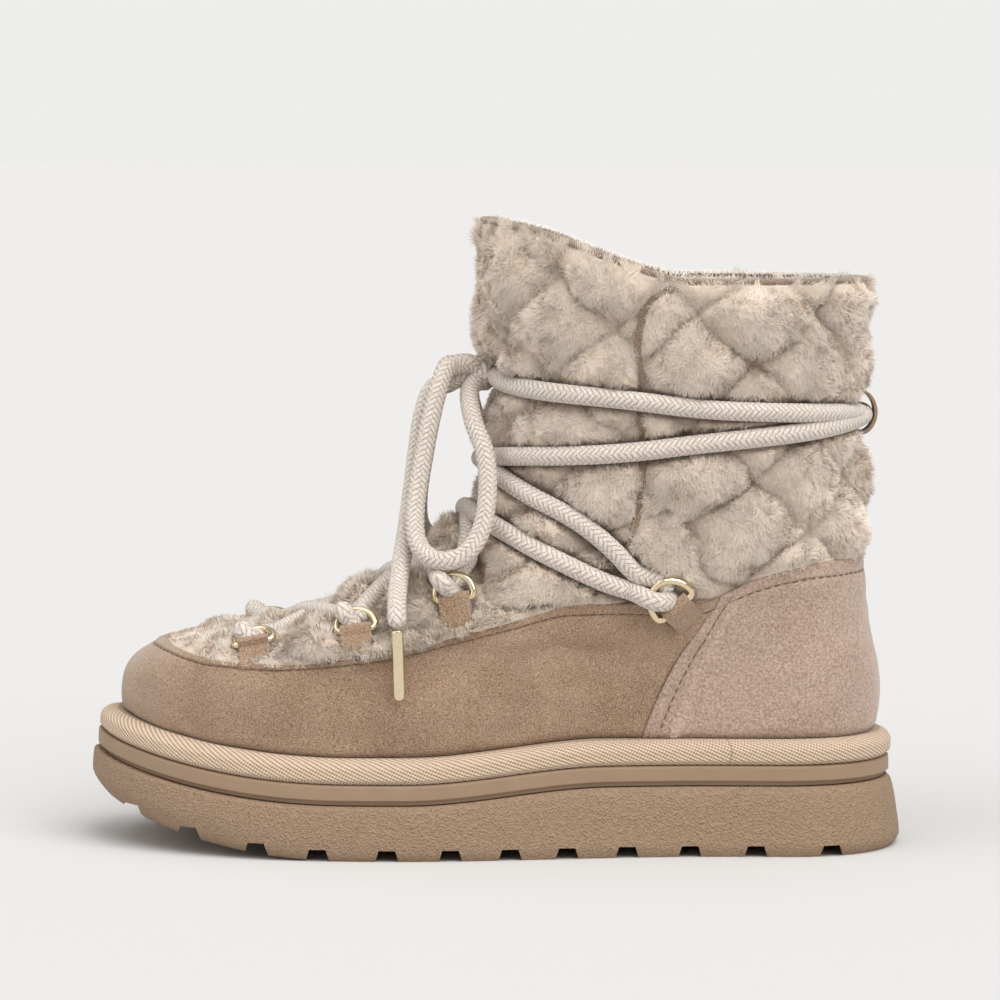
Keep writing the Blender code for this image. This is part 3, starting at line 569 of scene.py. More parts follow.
SHAFT_STRANDS = (ANKLE_CROSS, other_side(ANKLE_CROSS), WRAP, other_side(WRAP))
VAMP_STRANDS = (TOE_BAR, *VAMP_CROSSES, *(flipped(cross) for cross in VAMP_CROSSES))


def search_tree(places):
    tree = kdtree.KDTree(len(places))
    for i, place in enumerate(places):
        tree.insert(place, i)
    tree.balance()
    return tree


def pressed_places():
    """Places on the last that laces and tabs press flat, as search trees."""
    strands = [smooth_route(route, 1.5, on_shaft) for route in SHAFT_STRANDS]
    strands += [smooth_route(route, 1.5, on_vamp) for route in VAMP_STRANDS]
    tabs = [last_point(np.array([ring.x]), np.array([ring.z]), side)
            for ring in RINGS.values() for side in SIDES.values()]
    feet = KEEPER_HEIGHT + KEEPER_HALF_SPAN * np.array([-1.0, 1.0])
    tabs.append(last_point(SLICE_AT["back"](feet), feet, 1))
    return search_tree(np.vstack(strands)), search_tree(np.vstack(tabs))


PRESSED_LACES, PRESSED_TABS = pressed_places()


def nearest(points, tree):
    """Distance of each point to the nearest place in a search tree."""
    flat = points.reshape(-1, 3)
    return np.array([tree.find(point)[2] for point in flat.tolist()]).reshape(points.shape[:-1])


def free_of_laces(points):
    """0 where a lace presses on the plush, 1 clear of all of them."""
    return ease(DENT_CORE, DENT_REACH, nearest(points, PRESSED_LACES))


RIPPLE_WAVES = 9
Wave = namedtuple("Wave", "height size seed")


def ripple(points, size, seed):
    """Smooth noise about -1 to 1 with waves of about one size, the same on every run."""
    rng = np.random.default_rng(seed)
    total = np.zeros(points.shape[:-1])
    for _ in range(RIPPLE_WAVES):
        way = unit(rng.normal(size=3)) * 2 * math.pi / (size * rng.uniform(0.7, 1.5))
        total += np.sin(points @ way + rng.uniform(0, 2 * math.pi))
    return total / math.sqrt(RIPPLE_WAVES / 2)


def waves(points, *kinds):
    """Smooth noises added up over points, each with its height, size and seed."""
    return sum(kind.height * ripple(points, kind.size, SEED + kind.seed) for kind in kinds)


def pillows(points, level, seam):
    """Height of the quilting pillows from 0 to 1, freedom from laces, and distance from sewn lines."""
    x, z = points[..., 0], points[..., 2]
    back, front = SLICE_AT["back"](z), SLICE_AT["front"](z)
    share = np.clip((x - back) / (front - back), 0.0, 1.0)
    angle = np.degrees(np.arccos(1.0 - 2.0 * share))
    front_z = EDGE_HEIGHT(1.0) + np.interp(level, FRONT_RUN, FRONT_SHARE) * (
        COLLAR_HEIGHT(1.0) - EDGE_HEIGHT(1.0))
    run = FRONT_LENGTH * (1.0 - level)
    unrolled = z + (COLLAR_HEIGHT(1.0) - run - front_z) * ease(*UNROLL, angle)
    pillow = np.zeros(x.shape)
    sway, drift = (waves(points, Wave(QUILT_SWAY, QUILT_SWAY_SIZE, seed)) for seed in (40, 41))
    for quilt, inside in ((QUARTER_QUILT, angle <= seam), (BIB_QUILT, angle > seam)):
        across = (angle - quilt.angle) / (2 * quilt.half_angle) + sway
        up = (unrolled - quilt.height) / (2 * quilt.half_height) + drift
        ridge = np.abs(np.sin(math.pi * (across + up)) * np.sin(math.pi * (across - up)))
        pillow = np.where(inside, np.sqrt(ridge), pillow)
    free = free_of_laces(points)
    loose = ease(TAB_CORE, TAB_REACH, nearest(points, PRESSED_TABS))
    clear = ease(0.0, SEAM_MARGIN, np.abs(x - SEAM_X(z)))
    sewn = pillow * clear
    margin = at_least(RIM_PUFF, ease(0.0, RIM_MARGIN, 1.0 - level))
    margin = margin * at_least(EDGE_PUFF, ease(0.0, EDGE_MARGIN, level))
    margin = margin * (1.0 - TOE_THIN * ease(*TOE_FUR, x))
    return (sewn * loose * free - QUILT_SINK * (1.0 - pillow) * clear) * margin, free, sewn


# Meshes


def grid_corners(rows, columns, wrap_rows=False, wrap_columns=False):
    """Row and column of the four corners of each face of a grid, not yet brought back round."""
    r = np.arange(rows if wrap_rows else rows - 1)[:, None, None]
    c = np.arange(columns if wrap_columns else columns - 1)[None, :, None]
    r, c = np.broadcast_arrays(r + np.array([0, 0, 1, 1]), c + np.array([0, 1, 1, 0]))
    return r.reshape(-1, 4), c.reshape(-1, 4)


def grid_faces(rows, columns, wrap_rows=False, wrap_columns=False, turned=False):
    r, c = grid_corners(rows, columns, wrap_rows, wrap_columns)
    faces = (r % rows) * columns + c % columns
    return faces[:, ::-1] if turned else faces


def add_mesh(name, points, blocks, material):
    """A smooth mesh object from points in millimetres and arrays of faces with equal corner counts."""
    points = np.asarray(points, float).reshape(-1, 3)
    blocks = [np.asarray(block, np.int32) for block in blocks]
    counts = np.concatenate([np.full(len(block), block.shape[1]) for block in blocks])
    mesh = bpy.data.meshes.new(name)
    mesh.vertices.add(len(points))
    mesh.vertices.foreach_set("co", (points * MM).astype(np.float32).ravel())
    mesh.loops.add(int(counts.sum()))
    mesh.loops.foreach_set("vertex_index", np.concatenate([block.ravel() for block in blocks]))
    mesh.polygons.add(len(counts))
    mesh.polygons.foreach_set("loop_start", (np.cumsum(counts) - counts).astype(np.int32))
    mesh.update(calc_edges=True)
    mesh.shade_smooth()
    mesh.materials.append(material)
    piece = bpy.data.objects.new(name, mesh)
    bpy.context.scene.collection.objects.link(piece)
    return piece


def set_values(piece, name, values, domain="POINT"):
    """Stores one vector for each point or face corner, for the material to read."""
    layer = piece.data.attributes.new(name, "FLOAT_VECTOR", domain)
    layer.data.foreach_set("vector", np.asarray(values, np.float32).ravel())


def placed(piece, slot, *nodes):
    """Puts a finished piece on the boot in place of its plain solids."""
    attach(piece, "root")
    if nodes:
        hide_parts(*nodes)
    return piece


def softened(piece, width, degrees=40.0):
    """Rounds the sharp edges of a cut piece by a width in millimetres."""
    bevel = piece.modifiers.new("edge_round", "BEVEL")
    bevel.width = width * MM
    bevel.segments = 2
    bevel.limit_method = "ANGLE"
    bevel.angle_limit = math.radians(degrees)
    bevel.harden_normals = True
    return piece


def sections_mesh(name, sections, material):
    """A closed solid through sections, each a closed loop of as many points, with flat ends."""
    sections = np.asarray(sections, float)
    rows, columns = sections.shape[:2]
    faces = grid_faces(rows, columns, wrap_columns=True)
    first = np.arange(columns)[None, ::-1]
    last = (rows - 1) * columns + np.arange(columns)[None, :]
    piece = add_mesh(name, sections, [faces, first, last], material)
    outward(piece)
    return piece


def hoop_mesh(name, rings, material):
    """A closed mesh through rings of points, the last joined to the first."""
    rings = np.asarray(rings, float)
    piece = add_mesh(name, rings, [grid_faces(*rings.shape[:2], True, True)], material)
    outward(piece)
    return piece


def outward(piece):
    """Turns the faces of a closed mesh outward."""
    mesh = piece.data
    mesh.calc_loop_triangles()
    points = np.empty(len(mesh.vertices) * 3, np.float32)
    mesh.vertices.foreach_get("co", points)
    faces = np.empty(len(mesh.loop_triangles) * 3, np.int32)
    mesh.loop_triangles.foreach_get("vertices", faces)
    corners = points.reshape(-1, 3)[faces.reshape(-1, 3)].astype(float)
    if np.linalg.det(corners).sum() < 0:
        mesh.flip_normals()


def along_frames(points):
    """Unit tangents and two turning free side directions along a polyline."""
    tangents = unit(np.gradient(points, axis=0))
    start = np.cross(tangents[0], (0.0, 0.0, 1.0))
    if np.linalg.norm(start) < 0.1:
        start = np.cross(tangents[0], (1.0, 0.0, 0.0))
    sides = [start / np.linalg.norm(start)]
    for tangent in tangents[1:]:
        side = sides[-1] - tangent * sides[-1].dot(tangent)
        sides.append(side / np.linalg.norm(side))
    sides = np.array(sides)
    return tangents, sides, np.cross(tangents, sides)


def wire(name, points, radius, material, closed=False, turns=16):
    """A round wire along points, with radii that may change along it."""
    points = np.asarray(points, float)
    if closed:
        ends = np.vstack([points[-2:], points, points[:2]])
        _, sides, ups = (row[2:-2] for row in along_frames(ends))
    else:
        _, sides, ups = along_frames(points)
    angle = np.arange(turns) * 2 * math.pi / turns
    spread = sides[:, None] * np.cos(angle)[:, None] + ups[:, None] * np.sin(angle)[:, None]
    rings = points[:, None] + spread * np.broadcast_to(radius, len(points))[:, None, None]
    return (hoop_mesh if closed else sections_mesh)(name, rings, material)


def set_lay(piece, rows, columns, lay_at):
    """Stores how yarns lie at the corners of a grid's faces, whether or not the faces were turned over."""
    r, c = grid_corners(rows, columns, wrap_columns=True)
    values = np.stack(lay_at(r, c), axis=-1)
    if piece.data.polygons[0].vertices[1] != 1:
        values = values[:, [0, 3, 2, 1]]
    lay = np.zeros((len(piece.data.loops), 3))
    lay[:r.size, :values.shape[-1]] = values.reshape(r.size, -1)
    set_values(piece, "lay", lay, "CORNER")


# Materials


def linear(code):
    """A linear colour from an sRGB hex code."""
    values = np.array([int(code[i:i + 2], 16) for i in (1, 3, 5)]) / 255.0
    bright = np.where(values <= 0.04045, values / 12.92, ((values + 0.055) / 1.055) ** 2.4)
    return (*bright.tolist(), 1.0)


def scale_for(size):
    """Texture scale that gives features of a size in millimetres."""
    return 1.0 / (size * MM)


def add_node(tree, kind, inputs=None, **settings):
    """Adds a node with its settings, and fills its inputs with values or links."""
    node = tree.nodes.new(kind)
    for name, value in settings.items():
        setattr(node, name, value)
    for key, value in (inputs or {}).items():
        if isinstance(value, bpy.types.NodeSocket):
            tree.links.new(value, node.inputs[key])
        else:
            node.inputs[key].default_value = value
    return node


def new_finish(name, roughness, sockets=None):
    """A material with its shader's plain values set."""
    material = bpy.data.materials.new(name)
    material.use_nodes = True
    shader = material.node_tree.nodes["Principled BSDF"]
    shader.inputs["Roughness"].default_value = roughness
    for key, value in (sockets or {}).items():
        shader.inputs[key].default_value = value
    return material, material.node_tree, shader


def noise(tree, size, detail=2.0, roughness=0.5, output="Fac"):
    """Cloudy noise with features of a size in millimetres."""
    place = add_node(tree, "ShaderNodeTexCoord").outputs["Object"]
    inputs = {"Vector": place, "Scale": scale_for(size), "Detail": detail, "Roughness": roughness}
    return add_node(tree, "ShaderNodeTexNoise", inputs).outputs[output]


def cells(tree, size):
    """Distance from the middles of cells of a size in millimetres."""
    place = add_node(tree, "ShaderNodeTexCoord").outputs["Object"]
    inputs = {"Vector": place, "Scale": scale_for(size)}
    return add_node(tree, "ShaderNodeTexVoronoi", inputs).outputs["Distance"]


def stored(tree, name):
    """The vector that a mesh stores under a name."""
    return add_node(tree, "ShaderNodeAttribute", attribute_name=name).outputs["Vector"]


def parted(tree, vector):
    return add_node(tree, "ShaderNodeSeparateXYZ", {0: vector}).outputs


def blend(tree, share, low, high):
    """A colour between two, by a share."""
    return add_node(tree, "ShaderNodeMix", {0: share, 6: low, 7: high}, data_type="RGBA").outputs[2]


def worked(tree, operation, *values):
    """The result of a sum on sockets and plain numbers."""
    return add_node(tree, "ShaderNodeMath", dict(enumerate(values)), operation=operation).outputs[0]


def dotted(tree, vector, way):
    product = add_node(tree, "ShaderNodeVectorMath", {0: vector, 1: way}, operation="DOT_PRODUCT")
    return product.outputs["Value"]


def ranged(tree, value, low=0.0, high=1.0, to_low=0.0, to_high=1.0):
    """A value brought from one range to another."""
    return add_node(tree, "ShaderNodeMapRange", {
        "Value": value, "From Min": low, "From Max": high, "To Min": to_low, "To Max": to_high}).outputs[0]


def surface(tree, shader, colour, height=None, depth=0.0, strength=1.0):
    """Gives a shader its colour, and relief of a depth in millimetres."""
    tree.links.new(colour, shader.inputs["Base Color"])
    if height is not None:
        bump = add_node(tree, "ShaderNodeBump", {
            "Height": height, "Strength": strength, "Distance": depth * MM})
        tree.links.new(bump.outputs[0], shader.inputs["Normal"])


def acrylic_pile(name, root, tip, valley):
    """Acrylic plush: pale soft tips over darker roots, tuft by tuft, mixed with painted shade by a stored
    share and toned, which carries painted highlights.
    """
    material, tree, shader = new_finish(name, 0.95, {"Sheen Weight": 0.3, "Sheen Roughness": 0.4})
    end, tone, shade = parted(tree, stored(tree, "pile"))
    colour = blend(tree, shade, blend(tree, end, root, tip), valley)
    toned = add_node(tree, "ShaderNodeHueSaturation", {"Value": tone, "Color": colour})
    surface(tree, shader, toned.outputs[0])
    return material


def plush_backing(colours):
    """Knitted backing under the pile: dull, with painted shade along and beside the sewn lines and under
    laces.
    """
    material, tree, shader = new_finish("knitted_plush_backing", 1.0)
    shade = parted(tree, stored(tree, "pile"))[2]
    colour = blend(tree, shade, colours.pile_root, colours.pile_painted_shade)
    surface(tree, shader, colour, noise(tree, 1.6, 3.0), 0.5)
    return material


def napped_suede(name, light, dark, lift, grain_size):
    """Split leather brushed to a nap: mottled, dull, with a fine grain and no gloss."""
    material, tree, shader = new_finish(name, 0.92, {"Sheen Weight": 0.35, "Sheen Roughness": 0.5})
    cloud = worked(tree, "MULTIPLY", noise(tree, 26.0, 3.0, 0.6), 0.45)
    nap = noise(tree, grain_size, 1.0, 0.6)
    share = ranged(tree, worked(tree, "MULTIPLY_ADD", nap, 1.2, cloud), 0.55, 1.11)
    height = worked(tree, "MULTIPLY_ADD", cells(tree, grain_size), 0.35, nap)
    surface(tree, shader, blend(tree, share, dark, light), height, lift, 0.7)
    return material


def clouded(name, roughness, dark, light, size, detail=2.0, grain=0.5, relief=None, sockets=None):
    """A plain material clouded between two colours; relief is the depth and strength of its bumps."""
    material, tree, shader = new_finish(name, roughness, sockets)
    cloud = noise(tree, size, detail, grain)
    surface(tree, shader, blend(tree, cloud, dark, light), *((cloud, *relief) if relief else ()))
    return material


# Twill ribs fall to the rear of the outer side; the dots along them are drawn coarser than the thread
TWILL_PITCH = 1.1
TWILL_DOT = 1.0
TWILL_SLOPE = math.radians(24.0)


def twill_tape(colours):
    """Woven twill tape: diagonal ribs with rows of small dark gaps between the threads."""
    material, tree, shader = new_finish("woven_twill_tape", 0.85, {"Sheen Weight": 0.15})
    lay = stored(tree, "lay")
    fall, run = math.sin(TWILL_SLOPE), math.cos(TWILL_SLOPE)
    rib, row = (
        worked(tree, "SINE", dotted(tree, lay, (a * 2 * math.pi / pitch, b * 2 * math.pi / pitch, 0.0)))
        for a, b, pitch in ((-fall, run, TWILL_PITCH), (run, fall, TWILL_DOT)))
    weave = worked(tree, "MULTIPLY_ADD", row, 0.6, rib)
    uneven = worked(tree, "MULTIPLY_ADD", noise(tree, 1.1), 0.8, weave)
    joint = ranged(tree, parted(tree, lay)[2], 0.1, 0.4, 0.45)
    shown = worked(tree, "MULTIPLY", ranged(tree, uneven, -1.3, 1.1), joint)
    surface(tree, shader, blend(tree, shown, colours.tape_dark, colours.tape), uneven, 0.1, 0.8)
    return material


def moulded_rubber(colours):
    """Moulded rubber from a textured mould: a fine dull stipple with faint clouding."""
    material, tree, shader = new_finish("moulded_rubber_outsole", 0.7)
    cloud = noise(tree, 1.5, 4.0)
    height = worked(tree, "MULTIPLY_ADD", cloud, 0.8, cells(tree, 0.75))
    surface(tree, shader, blend(tree, cloud, colours.rubber_dark, colours.rubber), height, 0.6)
    return material


def braided_cotton(colours):
    """Braided cotton cord: heathered off-white yarns, two over two, with painted shade in the gaps where
    they dive under.
    """
    material, tree, shader = new_finish(
        "braided_cotton_cord", 0.9, {"Sheen Weight": 0.2, "Sheen Roughness": 0.5})
    wander = noise(tree, 2.2, output="Color")
    lay = add_node(tree, "ShaderNodeVectorMath", {0: wander, 1: (0.6, 0.6, 0.0), 2: stored(tree, "lay")},
                   operation="MULTIPLY_ADD").outputs[0]
    whole = add_node(tree, "ShaderNodeVectorMath", {0: lay}, operation="FLOOR").outputs[0]
    turn = worked(tree, "FLOORED_MODULO", dotted(tree, whole, (1.0, 1.0, 0.0)), 4.0)
    first, second, _ = parted(tree, lay)
    across = add_node(tree, "ShaderNodeMix", {0: worked(tree, "LESS_THAN", turn, 1.5), 2: second, 3: first})
    crown = ranged(tree, worked(tree, "PINGPONG", across.outputs[0], 0.5), 0.0, 0.24)
    fibre = noise(tree, 0.8, 3.0, 0.7)
    yarn = blend(tree, ranged(tree, fibre, 0.36, 0.6), colours.cord_fleck, colours.cord)
    height = worked(tree, "MULTIPLY_ADD", fibre, 0.5, crown)
    surface(tree, shader, blend(tree, crown, colours.cord_gap_shade, yarn), height, 0.3, 0.7)
    return material


def gold_plate(colours):
    """Pale gold electroplate on polished die cast zinc: bright, with faint polishing marks."""
    material, tree, shader = new_finish("pale_gold_electroplate", 0.16, {"Metallic": 1.0})
    marks = noise(tree, 1.5, 4.0)
    surface(tree, shader, blend(tree, marks, colours.gold_dark, colours.gold))
    tree.links.new(ranged(tree, marks, 0.0, 1.0, 0.07, 0.18), shader.inputs["Roughness"])
    return material


# Thread is a dark dash with a slight shine, foam has a smooth satin skin, felt is matted, dull and pale,
# and the floor is matt paint with the faintest clouding
FINISHES = {
    "pile": lambda c: acrylic_pile("acrylic_plush_pile", c.pile_root, c.pile_tip, c.pile_painted_shade),
    "fleece": lambda c: acrylic_pile("acrylic_fleece_lining", c.pile_tip, c.lining, c.pile_root),
    "backing": plush_backing,
    "suede": lambda c: napped_suede("napped_suede", c.suede, c.suede_dark, 0.35, 0.5),
    "counter": lambda c: napped_suede("napped_suede_counter", c.counter, c.counter_dark, 0.5, 0.85),
    "binding": lambda c: napped_suede("napped_suede_binding", c.binding, c.binding_dark, 0.3, 0.6),
    "thread": lambda c: clouded("bonded_sewing_thread", 0.6, c.thread, c.suede_dark, 0.6),
    "tape": twill_tape,
    "foam": lambda c: clouded("moulded_foam_midsole", 0.55, c.foam_dark, c.foam, 9.0, 4.0,
                              relief=(0.1, 0.3)),
    "rubber": moulded_rubber,
    "cord": braided_cotton,
    "gold": gold_plate,
    "felt": lambda c: clouded("pressed_felt_sock", 0.95, c.pile_root, c.lining, 1.4, 5.0, 0.7,
                              relief=(0.5, 1.0), sockets={"Sheen Weight": 0.3}),
    "floor": lambda c: clouded("matt_painted_floor", 0.9, c.floor, c.floor_light, 500.0,
                               sockets={"Specular IOR Level": 0.0}),
}
MADE = {}


def finish(key):
    """The material for a key, made once."""
    if key not in MADE:
        MADE[key] = FINISHES[key](bpy.context.scene.boot_colours)
    return MADE[key]


# Sizes and colours that a user may change


def colour_property(name, code, description):
    return bpy.props.FloatVectorProperty(
        name=name, description=description, subtype="COLOR", size=4, min=0.0, max=1.0, default=linear(code))


def length_property(name, size, description):
    return bpy.props.FloatProperty(
        name=name, description=description, default=size * MM, min=0.0, subtype="DISTANCE", unit="LENGTH",
        precision=5)


class BootColours(bpy.types.PropertyGroup):
    """Colours of the boot's materials and of the floor."""

    pile_tip: colour_property("Pile tip", "#f6ebdf", "Tips of the plush hairs")
    pile_root: colour_property("Pile root", "#dac9b7", "Roots of the plush hairs")
    # Painted shade of the plush along and beside the quilting lines, under laces and along the suede edge
    pile_painted_shade: colour_property("Pile valley", "#94816e", "Plush along the quilting lines")
    lining: colour_property("Lining", "#fbf7f0", "Fleece inside the collar")
    suede: colour_property("Suede", "#b49a83", "Light side of the nap on the rand")
    suede_dark: colour_property("Suede dark", "#77593f", "Dark side of the nap on the rand")
    counter: colour_property("Counter", "#bfa796", "Light side of the nap on the heel counter")
    counter_dark: colour_property("Counter dark", "#937866", "Dark side of the nap on the heel counter")
    binding: colour_property("Binding", "#9a8470", "Light side of the nap on the bindings")
    binding_dark: colour_property("Binding dark", "#77634f", "Dark side of the nap on the bindings")
    thread: colour_property("Thread", "#66513f", "Sewing thread")
    tape: colour_property("Tape", "#d8c1a8", "Ribs of the woven tape")
    tape_dark: colour_property("Tape dark", "#7c5f46", "Gaps of the woven tape")
    foam: colour_property("Midsole", "#9b826a", "Light clouding of the midsole")
    foam_dark: colour_property("Midsole dark", "#8f755d", "Dark clouding of the midsole")
    rubber: colour_property("Outsole", "#aa8f76", "Light clouding of the outsole")
    rubber_dark: colour_property("Outsole dark", "#8b7157", "Dark clouding of the outsole")
    cord: colour_property("Cord", "#e2d8cd", "Pale yarn of the lace")
    cord_fleck: colour_property("Cord fleck", "#c8bcb0", "Grey flecks of the lace")
    # Painted shade in the gaps of the braid, where the yarns dive under
    cord_gap_shade: colour_property("Cord gap", "#a5998d", "Gaps of the braid")
    gold: colour_property("Gold", "#f1e3c6", "Plating of the rings and aglets")
    gold_dark: colour_property("Gold dark", "#dcc9a2", "Plating in the polishing marks")
    floor: colour_property("Floor", "#d0cfce", "Studio floor")
    floor_light: colour_property("Floor light", "#d1d0cf", "Faint clouding of the floor")
    world: colour_property("Surroundings", "#eeedeb", "Light from all round")


class BootSizes(bpy.types.PropertyGroup):
    """Sizes of the pile, the lace and the stitches."""

    puff: length_property("Puff", 4.7, "Height of the padded pillows under the pile")
    pile_length: length_property("Pile length", 3.0, "Length of the plush hairs on a crest")
    pile_width: length_property("Pile width", 0.25, "Width of a drawn hair, coarser than a real one")
    lace_diameter: length_property("Lace diameter", 6.6, "Diameter of the braided lace")
    aglet_diameter: length_property("Aglet diameter", 4.2, "Diameter of the metal lace tips")
    stitch_pitch: length_property("Stitch pitch", 3.3, "Distance between stitches")
    stitch_length: length_property("Stitch length", 2.1, "Length of thread that shows in a stitch")
    tufts: bpy.props.IntProperty(
        name="Tufts", description="Number of tufts on the plush", default=42000, min=100, max=45000)
    hairs: bpy.props.IntProperty(
        name="Hairs", description="Number of hairs in a tuft", default=12, min=1, max=14)


# Plush


SHELL_COLUMNS = 320
SHELL_ROWS = 124
COVERED_ROWS = 8
COVERED_TOP = -0.02
LINING_ROWS = 40
UNDER_SUEDE = -RAND_THICK - GAP - 0.1
SHELL_ANGLES = np.arange(SHELL_COLUMNS) * 360.0 / SHELL_COLUMNS
Shell = namedtuple("Shell", "points normals free sewn level")
LUMPS = (Wave(0.3, 15.0, 0), Wave(0.2, 7.0, 3))
PUFF_WAVE = Wave(0.15, 30.0, 1)
LINING_WAVE = Wave(0.35, 9.0, 2)


def plush_grid(puff):
    """The padded face above the suede, as a grid of points with its normals, laces and sewn lines."""
    levels = np.linspace(0.0, 1.0, SHELL_ROWS)
    seams = np.array([seam_angle(level) for level in levels])[:, None]
    level, angle = np.broadcast_arrays(levels[:, None], SHELL_ANGLES[None, :])
    base = course(level, angle)
    crest, free, sewn = pillows(base, level, seams)
    puff = puff * (1.0 + waves(base, PUFF_WAVE)) * (1.0 - TOE_FLAT * ease(*TOE_FALL, base[..., 0]))
    points = proud(base, crest * (puff + waves(base, *LUMPS)) - SEAM_SINK - PRESS_SINK * (1.0 - free))
    up = np.gradient(points, axis=0)
    round_ = (np.roll(points, -1, axis=1) - np.roll(points, 1, axis=1)) / 2
    return Shell(points, np.cross(up, round_), free, sewn, level)


def plush_shell(grid):
    """Hollow quilted wall from feather line to collar and down the lining."""
    under = course(np.linspace(-1.0, COVERED_TOP, COVERED_ROWS)[:, None], SHELL_ANGLES[None, :])
    outer = np.concatenate([proud(under, np.full(under.shape[:2], UNDER_SUEDE)), grid.points])
    inside = course(np.linspace(1.0, -1.0, LINING_ROWS)[:, None], SHELL_ANGLES[None, :])
    inner = proud(inside, -LINING_DEPTH + waves(inside, LINING_WAVE))
    rows = np.concatenate([outer, inner])
    piece = hoop_mesh("quilted_shell", rows, finish("backing"))
    pile = np.zeros(rows.shape)
    # Painted shade along the quilting and under laces, stored for the backing's colour
    shade = valley_shade(grid.sewn, grid.free, grid.points, unit(grid.normals))
    pile[COVERED_ROWS:len(outer), :, 2] = shade
    set_values(piece, "pile", pile)
    piece.data.materials.append(finish("felt"))
    material = np.repeat(np.arange(len(rows)) >= len(outer) - 1, SHELL_COLUMNS).astype(np.int32)
    piece.data.polygons.foreach_set("material_index", material)
    return placed(piece, "short_pile_plush", "upper")


# Painted shade of the plush: along the quilting, beside it and under laces; less of it on the vamp and at
# the toe, and less where the plush faces forward or back, which paints a highlight on those edges
LINE_FADE = (0.03, 0.27)
LINE_SHADE = 0.6
LINE_WAVE = Wave(0.4, 9.0, 30)
BESIDE_FADE = (0.15, 0.7)
BESIDE_SHADE = 0.2
LACE_SHADE = 0.35
VAMP_PALE = 0.35
TOE_PALE = 0.5
TURNED = (0.5, 0.9)
TURNED_EVEN = 0.65


def turned_share(normals):
    """1 where the plush faces forward or back, and 0 on its sides."""
    return ease(*TURNED, np.abs(normals[..., 0]))


def valley_shade(sewn, free, place, normals):
    """How much painted shade shows: along and beside the sewn lines and under laces, less on the vamp, at
    the toe and where the plush faces forward or back.
    """
    x = place[..., 0]
    line = (1.0 - ease(*LINE_FADE, sewn)) * (LINE_SHADE + waves(place, LINE_WAVE))
    beside = BESIDE_SHADE * (1.0 - ease(*BESIDE_FADE, sewn))
    shade = np.clip(line + beside + LACE_SHADE * (1.0 - free), 0.0, 1.0)
    pale = 1.0 - VAMP_PALE * ease(*VAMP, x) - TOE_PALE * ease(*TOE_FALL, x)
    return shade * pale * (1.0 - TURNED_EVEN * turned_share(normals))


def sampled(values, row, column):
    """Values of a grid between its points; the columns run round."""
    columns = values.shape[1]
    r, c = row.astype(int), np.floor(column).astype(int)
    down, across = row - r, column - c
    if values.ndim == 3:
        down, across = down[:, None], across[:, None]
    c, d = c % columns, (c + 1) % columns
    low = values[r, c] * (1 - across) + values[r, d] * across
    high = values[r + 1, c] * (1 - across) + values[r + 1, d] * across
    return low * (1 - down) + high * down


HAIR_FACING = 0.3


def hairs(name, roots, ways, normals, lengths, width, tone, valley, key="pile"):
    """Straight tapered hairs as one mesh, shaded mostly like the surface they stand on."""
    across = unit(np.cross(ways, normals)) * width / 2
    tips = roots + unit(ways) * lengths[:, None]
    points = np.stack([roots - across, roots + across, tips], axis=1)
    piece = add_mesh(name, points, [np.arange(len(roots) * 3).reshape(-1, 3)], finish(key))
    ends = np.array([0.0, 0.0, 1.0])
    set_values(piece, "pile", np.stack(np.broadcast_arrays(ends, tone[:, None], valley[:, None]), axis=-1))
    facing = unit(normals + HAIR_FACING * unit(np.cross(across, ways)))
    piece.data.normals_split_custom_set_from_vertices(np.repeat(facing, 3, axis=0))
    return placed(piece, "short_pile_plush")


BIB_FRONT = 12.0
PILE_PIECES = {
    "pile_quarter_lateral": lambda angle, x, seam: angle <= seam,
    "pile_quarter_medial": lambda angle, x, seam: angle >= 360.0 - seam,
    "pile_bib": lambda angle, x, seam: (angle > seam) & (angle < 360.0 - seam) & (x < BIB_FRONT),
    "pile_vamp": lambda angle, x, seam: (angle > seam) & (angle < 360.0 - seam) & (x >= BIB_FRONT),
}
# Levels of the collar's rim, of the edge sewn to the suede and of the band brushed up over it
RIM = (0.94, 0.985)
SEWN_EDGE = (0.0, 0.05)
BRUSHED = (0.0, 0.13)
# Comb of the hairs: down the shaft, up at the rim and over the suede, with swirls and stray tufts
COMB_DOWN = 0.6
RIM_UP = 1.5
BRUSH_UP = 0.85
SWIRLS = tuple(Wave(0.3, 12.0, seed) for seed in (11, 12, 13))
CURLS = tuple(Wave(0.36, 3.4, seed) for seed in (14, 15, 16))
SWIRL_LEAST = 0.4
STRAY = 0.2
VAMP_CALM = 0.65
# Length of the hairs: shares on sewn lines and under laces, and changes by place
LACED_WEIGHT = 0.4
LACED_LENGTH = 0.45
SEWN_LENGTH = 0.55
EDGE_SHORT = 0.4
VAMP_FLUFF = 0.25
TOE_LESS = 1.4
TOE_SHORT = 0.4
RIM_LENGTH = 0.8
RIM_FLUFF = 3.8
FLUFF = (-0.15, 0.5)
FLUFF_WAVE = Wave(1.0, 6.0, 20)
QUARTER_FLUFF = 0.8
TUFT_REACH = 1.7
TUFT_GATHER = 0.3
ROOT_SINK = 0.1
# Tone of the tufts by place and duller on the vamp; painted highlights at the collar, on the low rear and
# where the plush faces forward or back; painted shadow along the edge sewn to the suede
TONE_WAVE = Wave(0.05, 14.0, 21)
VAMP_DULL = 0.05
LOW_REAR = (112.0, 135.0)
REAR = (-70.0, -50.0)
REAR_HIGHLIGHT = 0.06
COLLAR_BAND = (0.8, 0.95)
COLLAR_HIGHLIGHT = 0.05
TURNED_HIGHLIGHT = 0.07
EDGE_SHADE = 0.14
EDGE_WAVE = Wave(0.12, 4.0, 31)


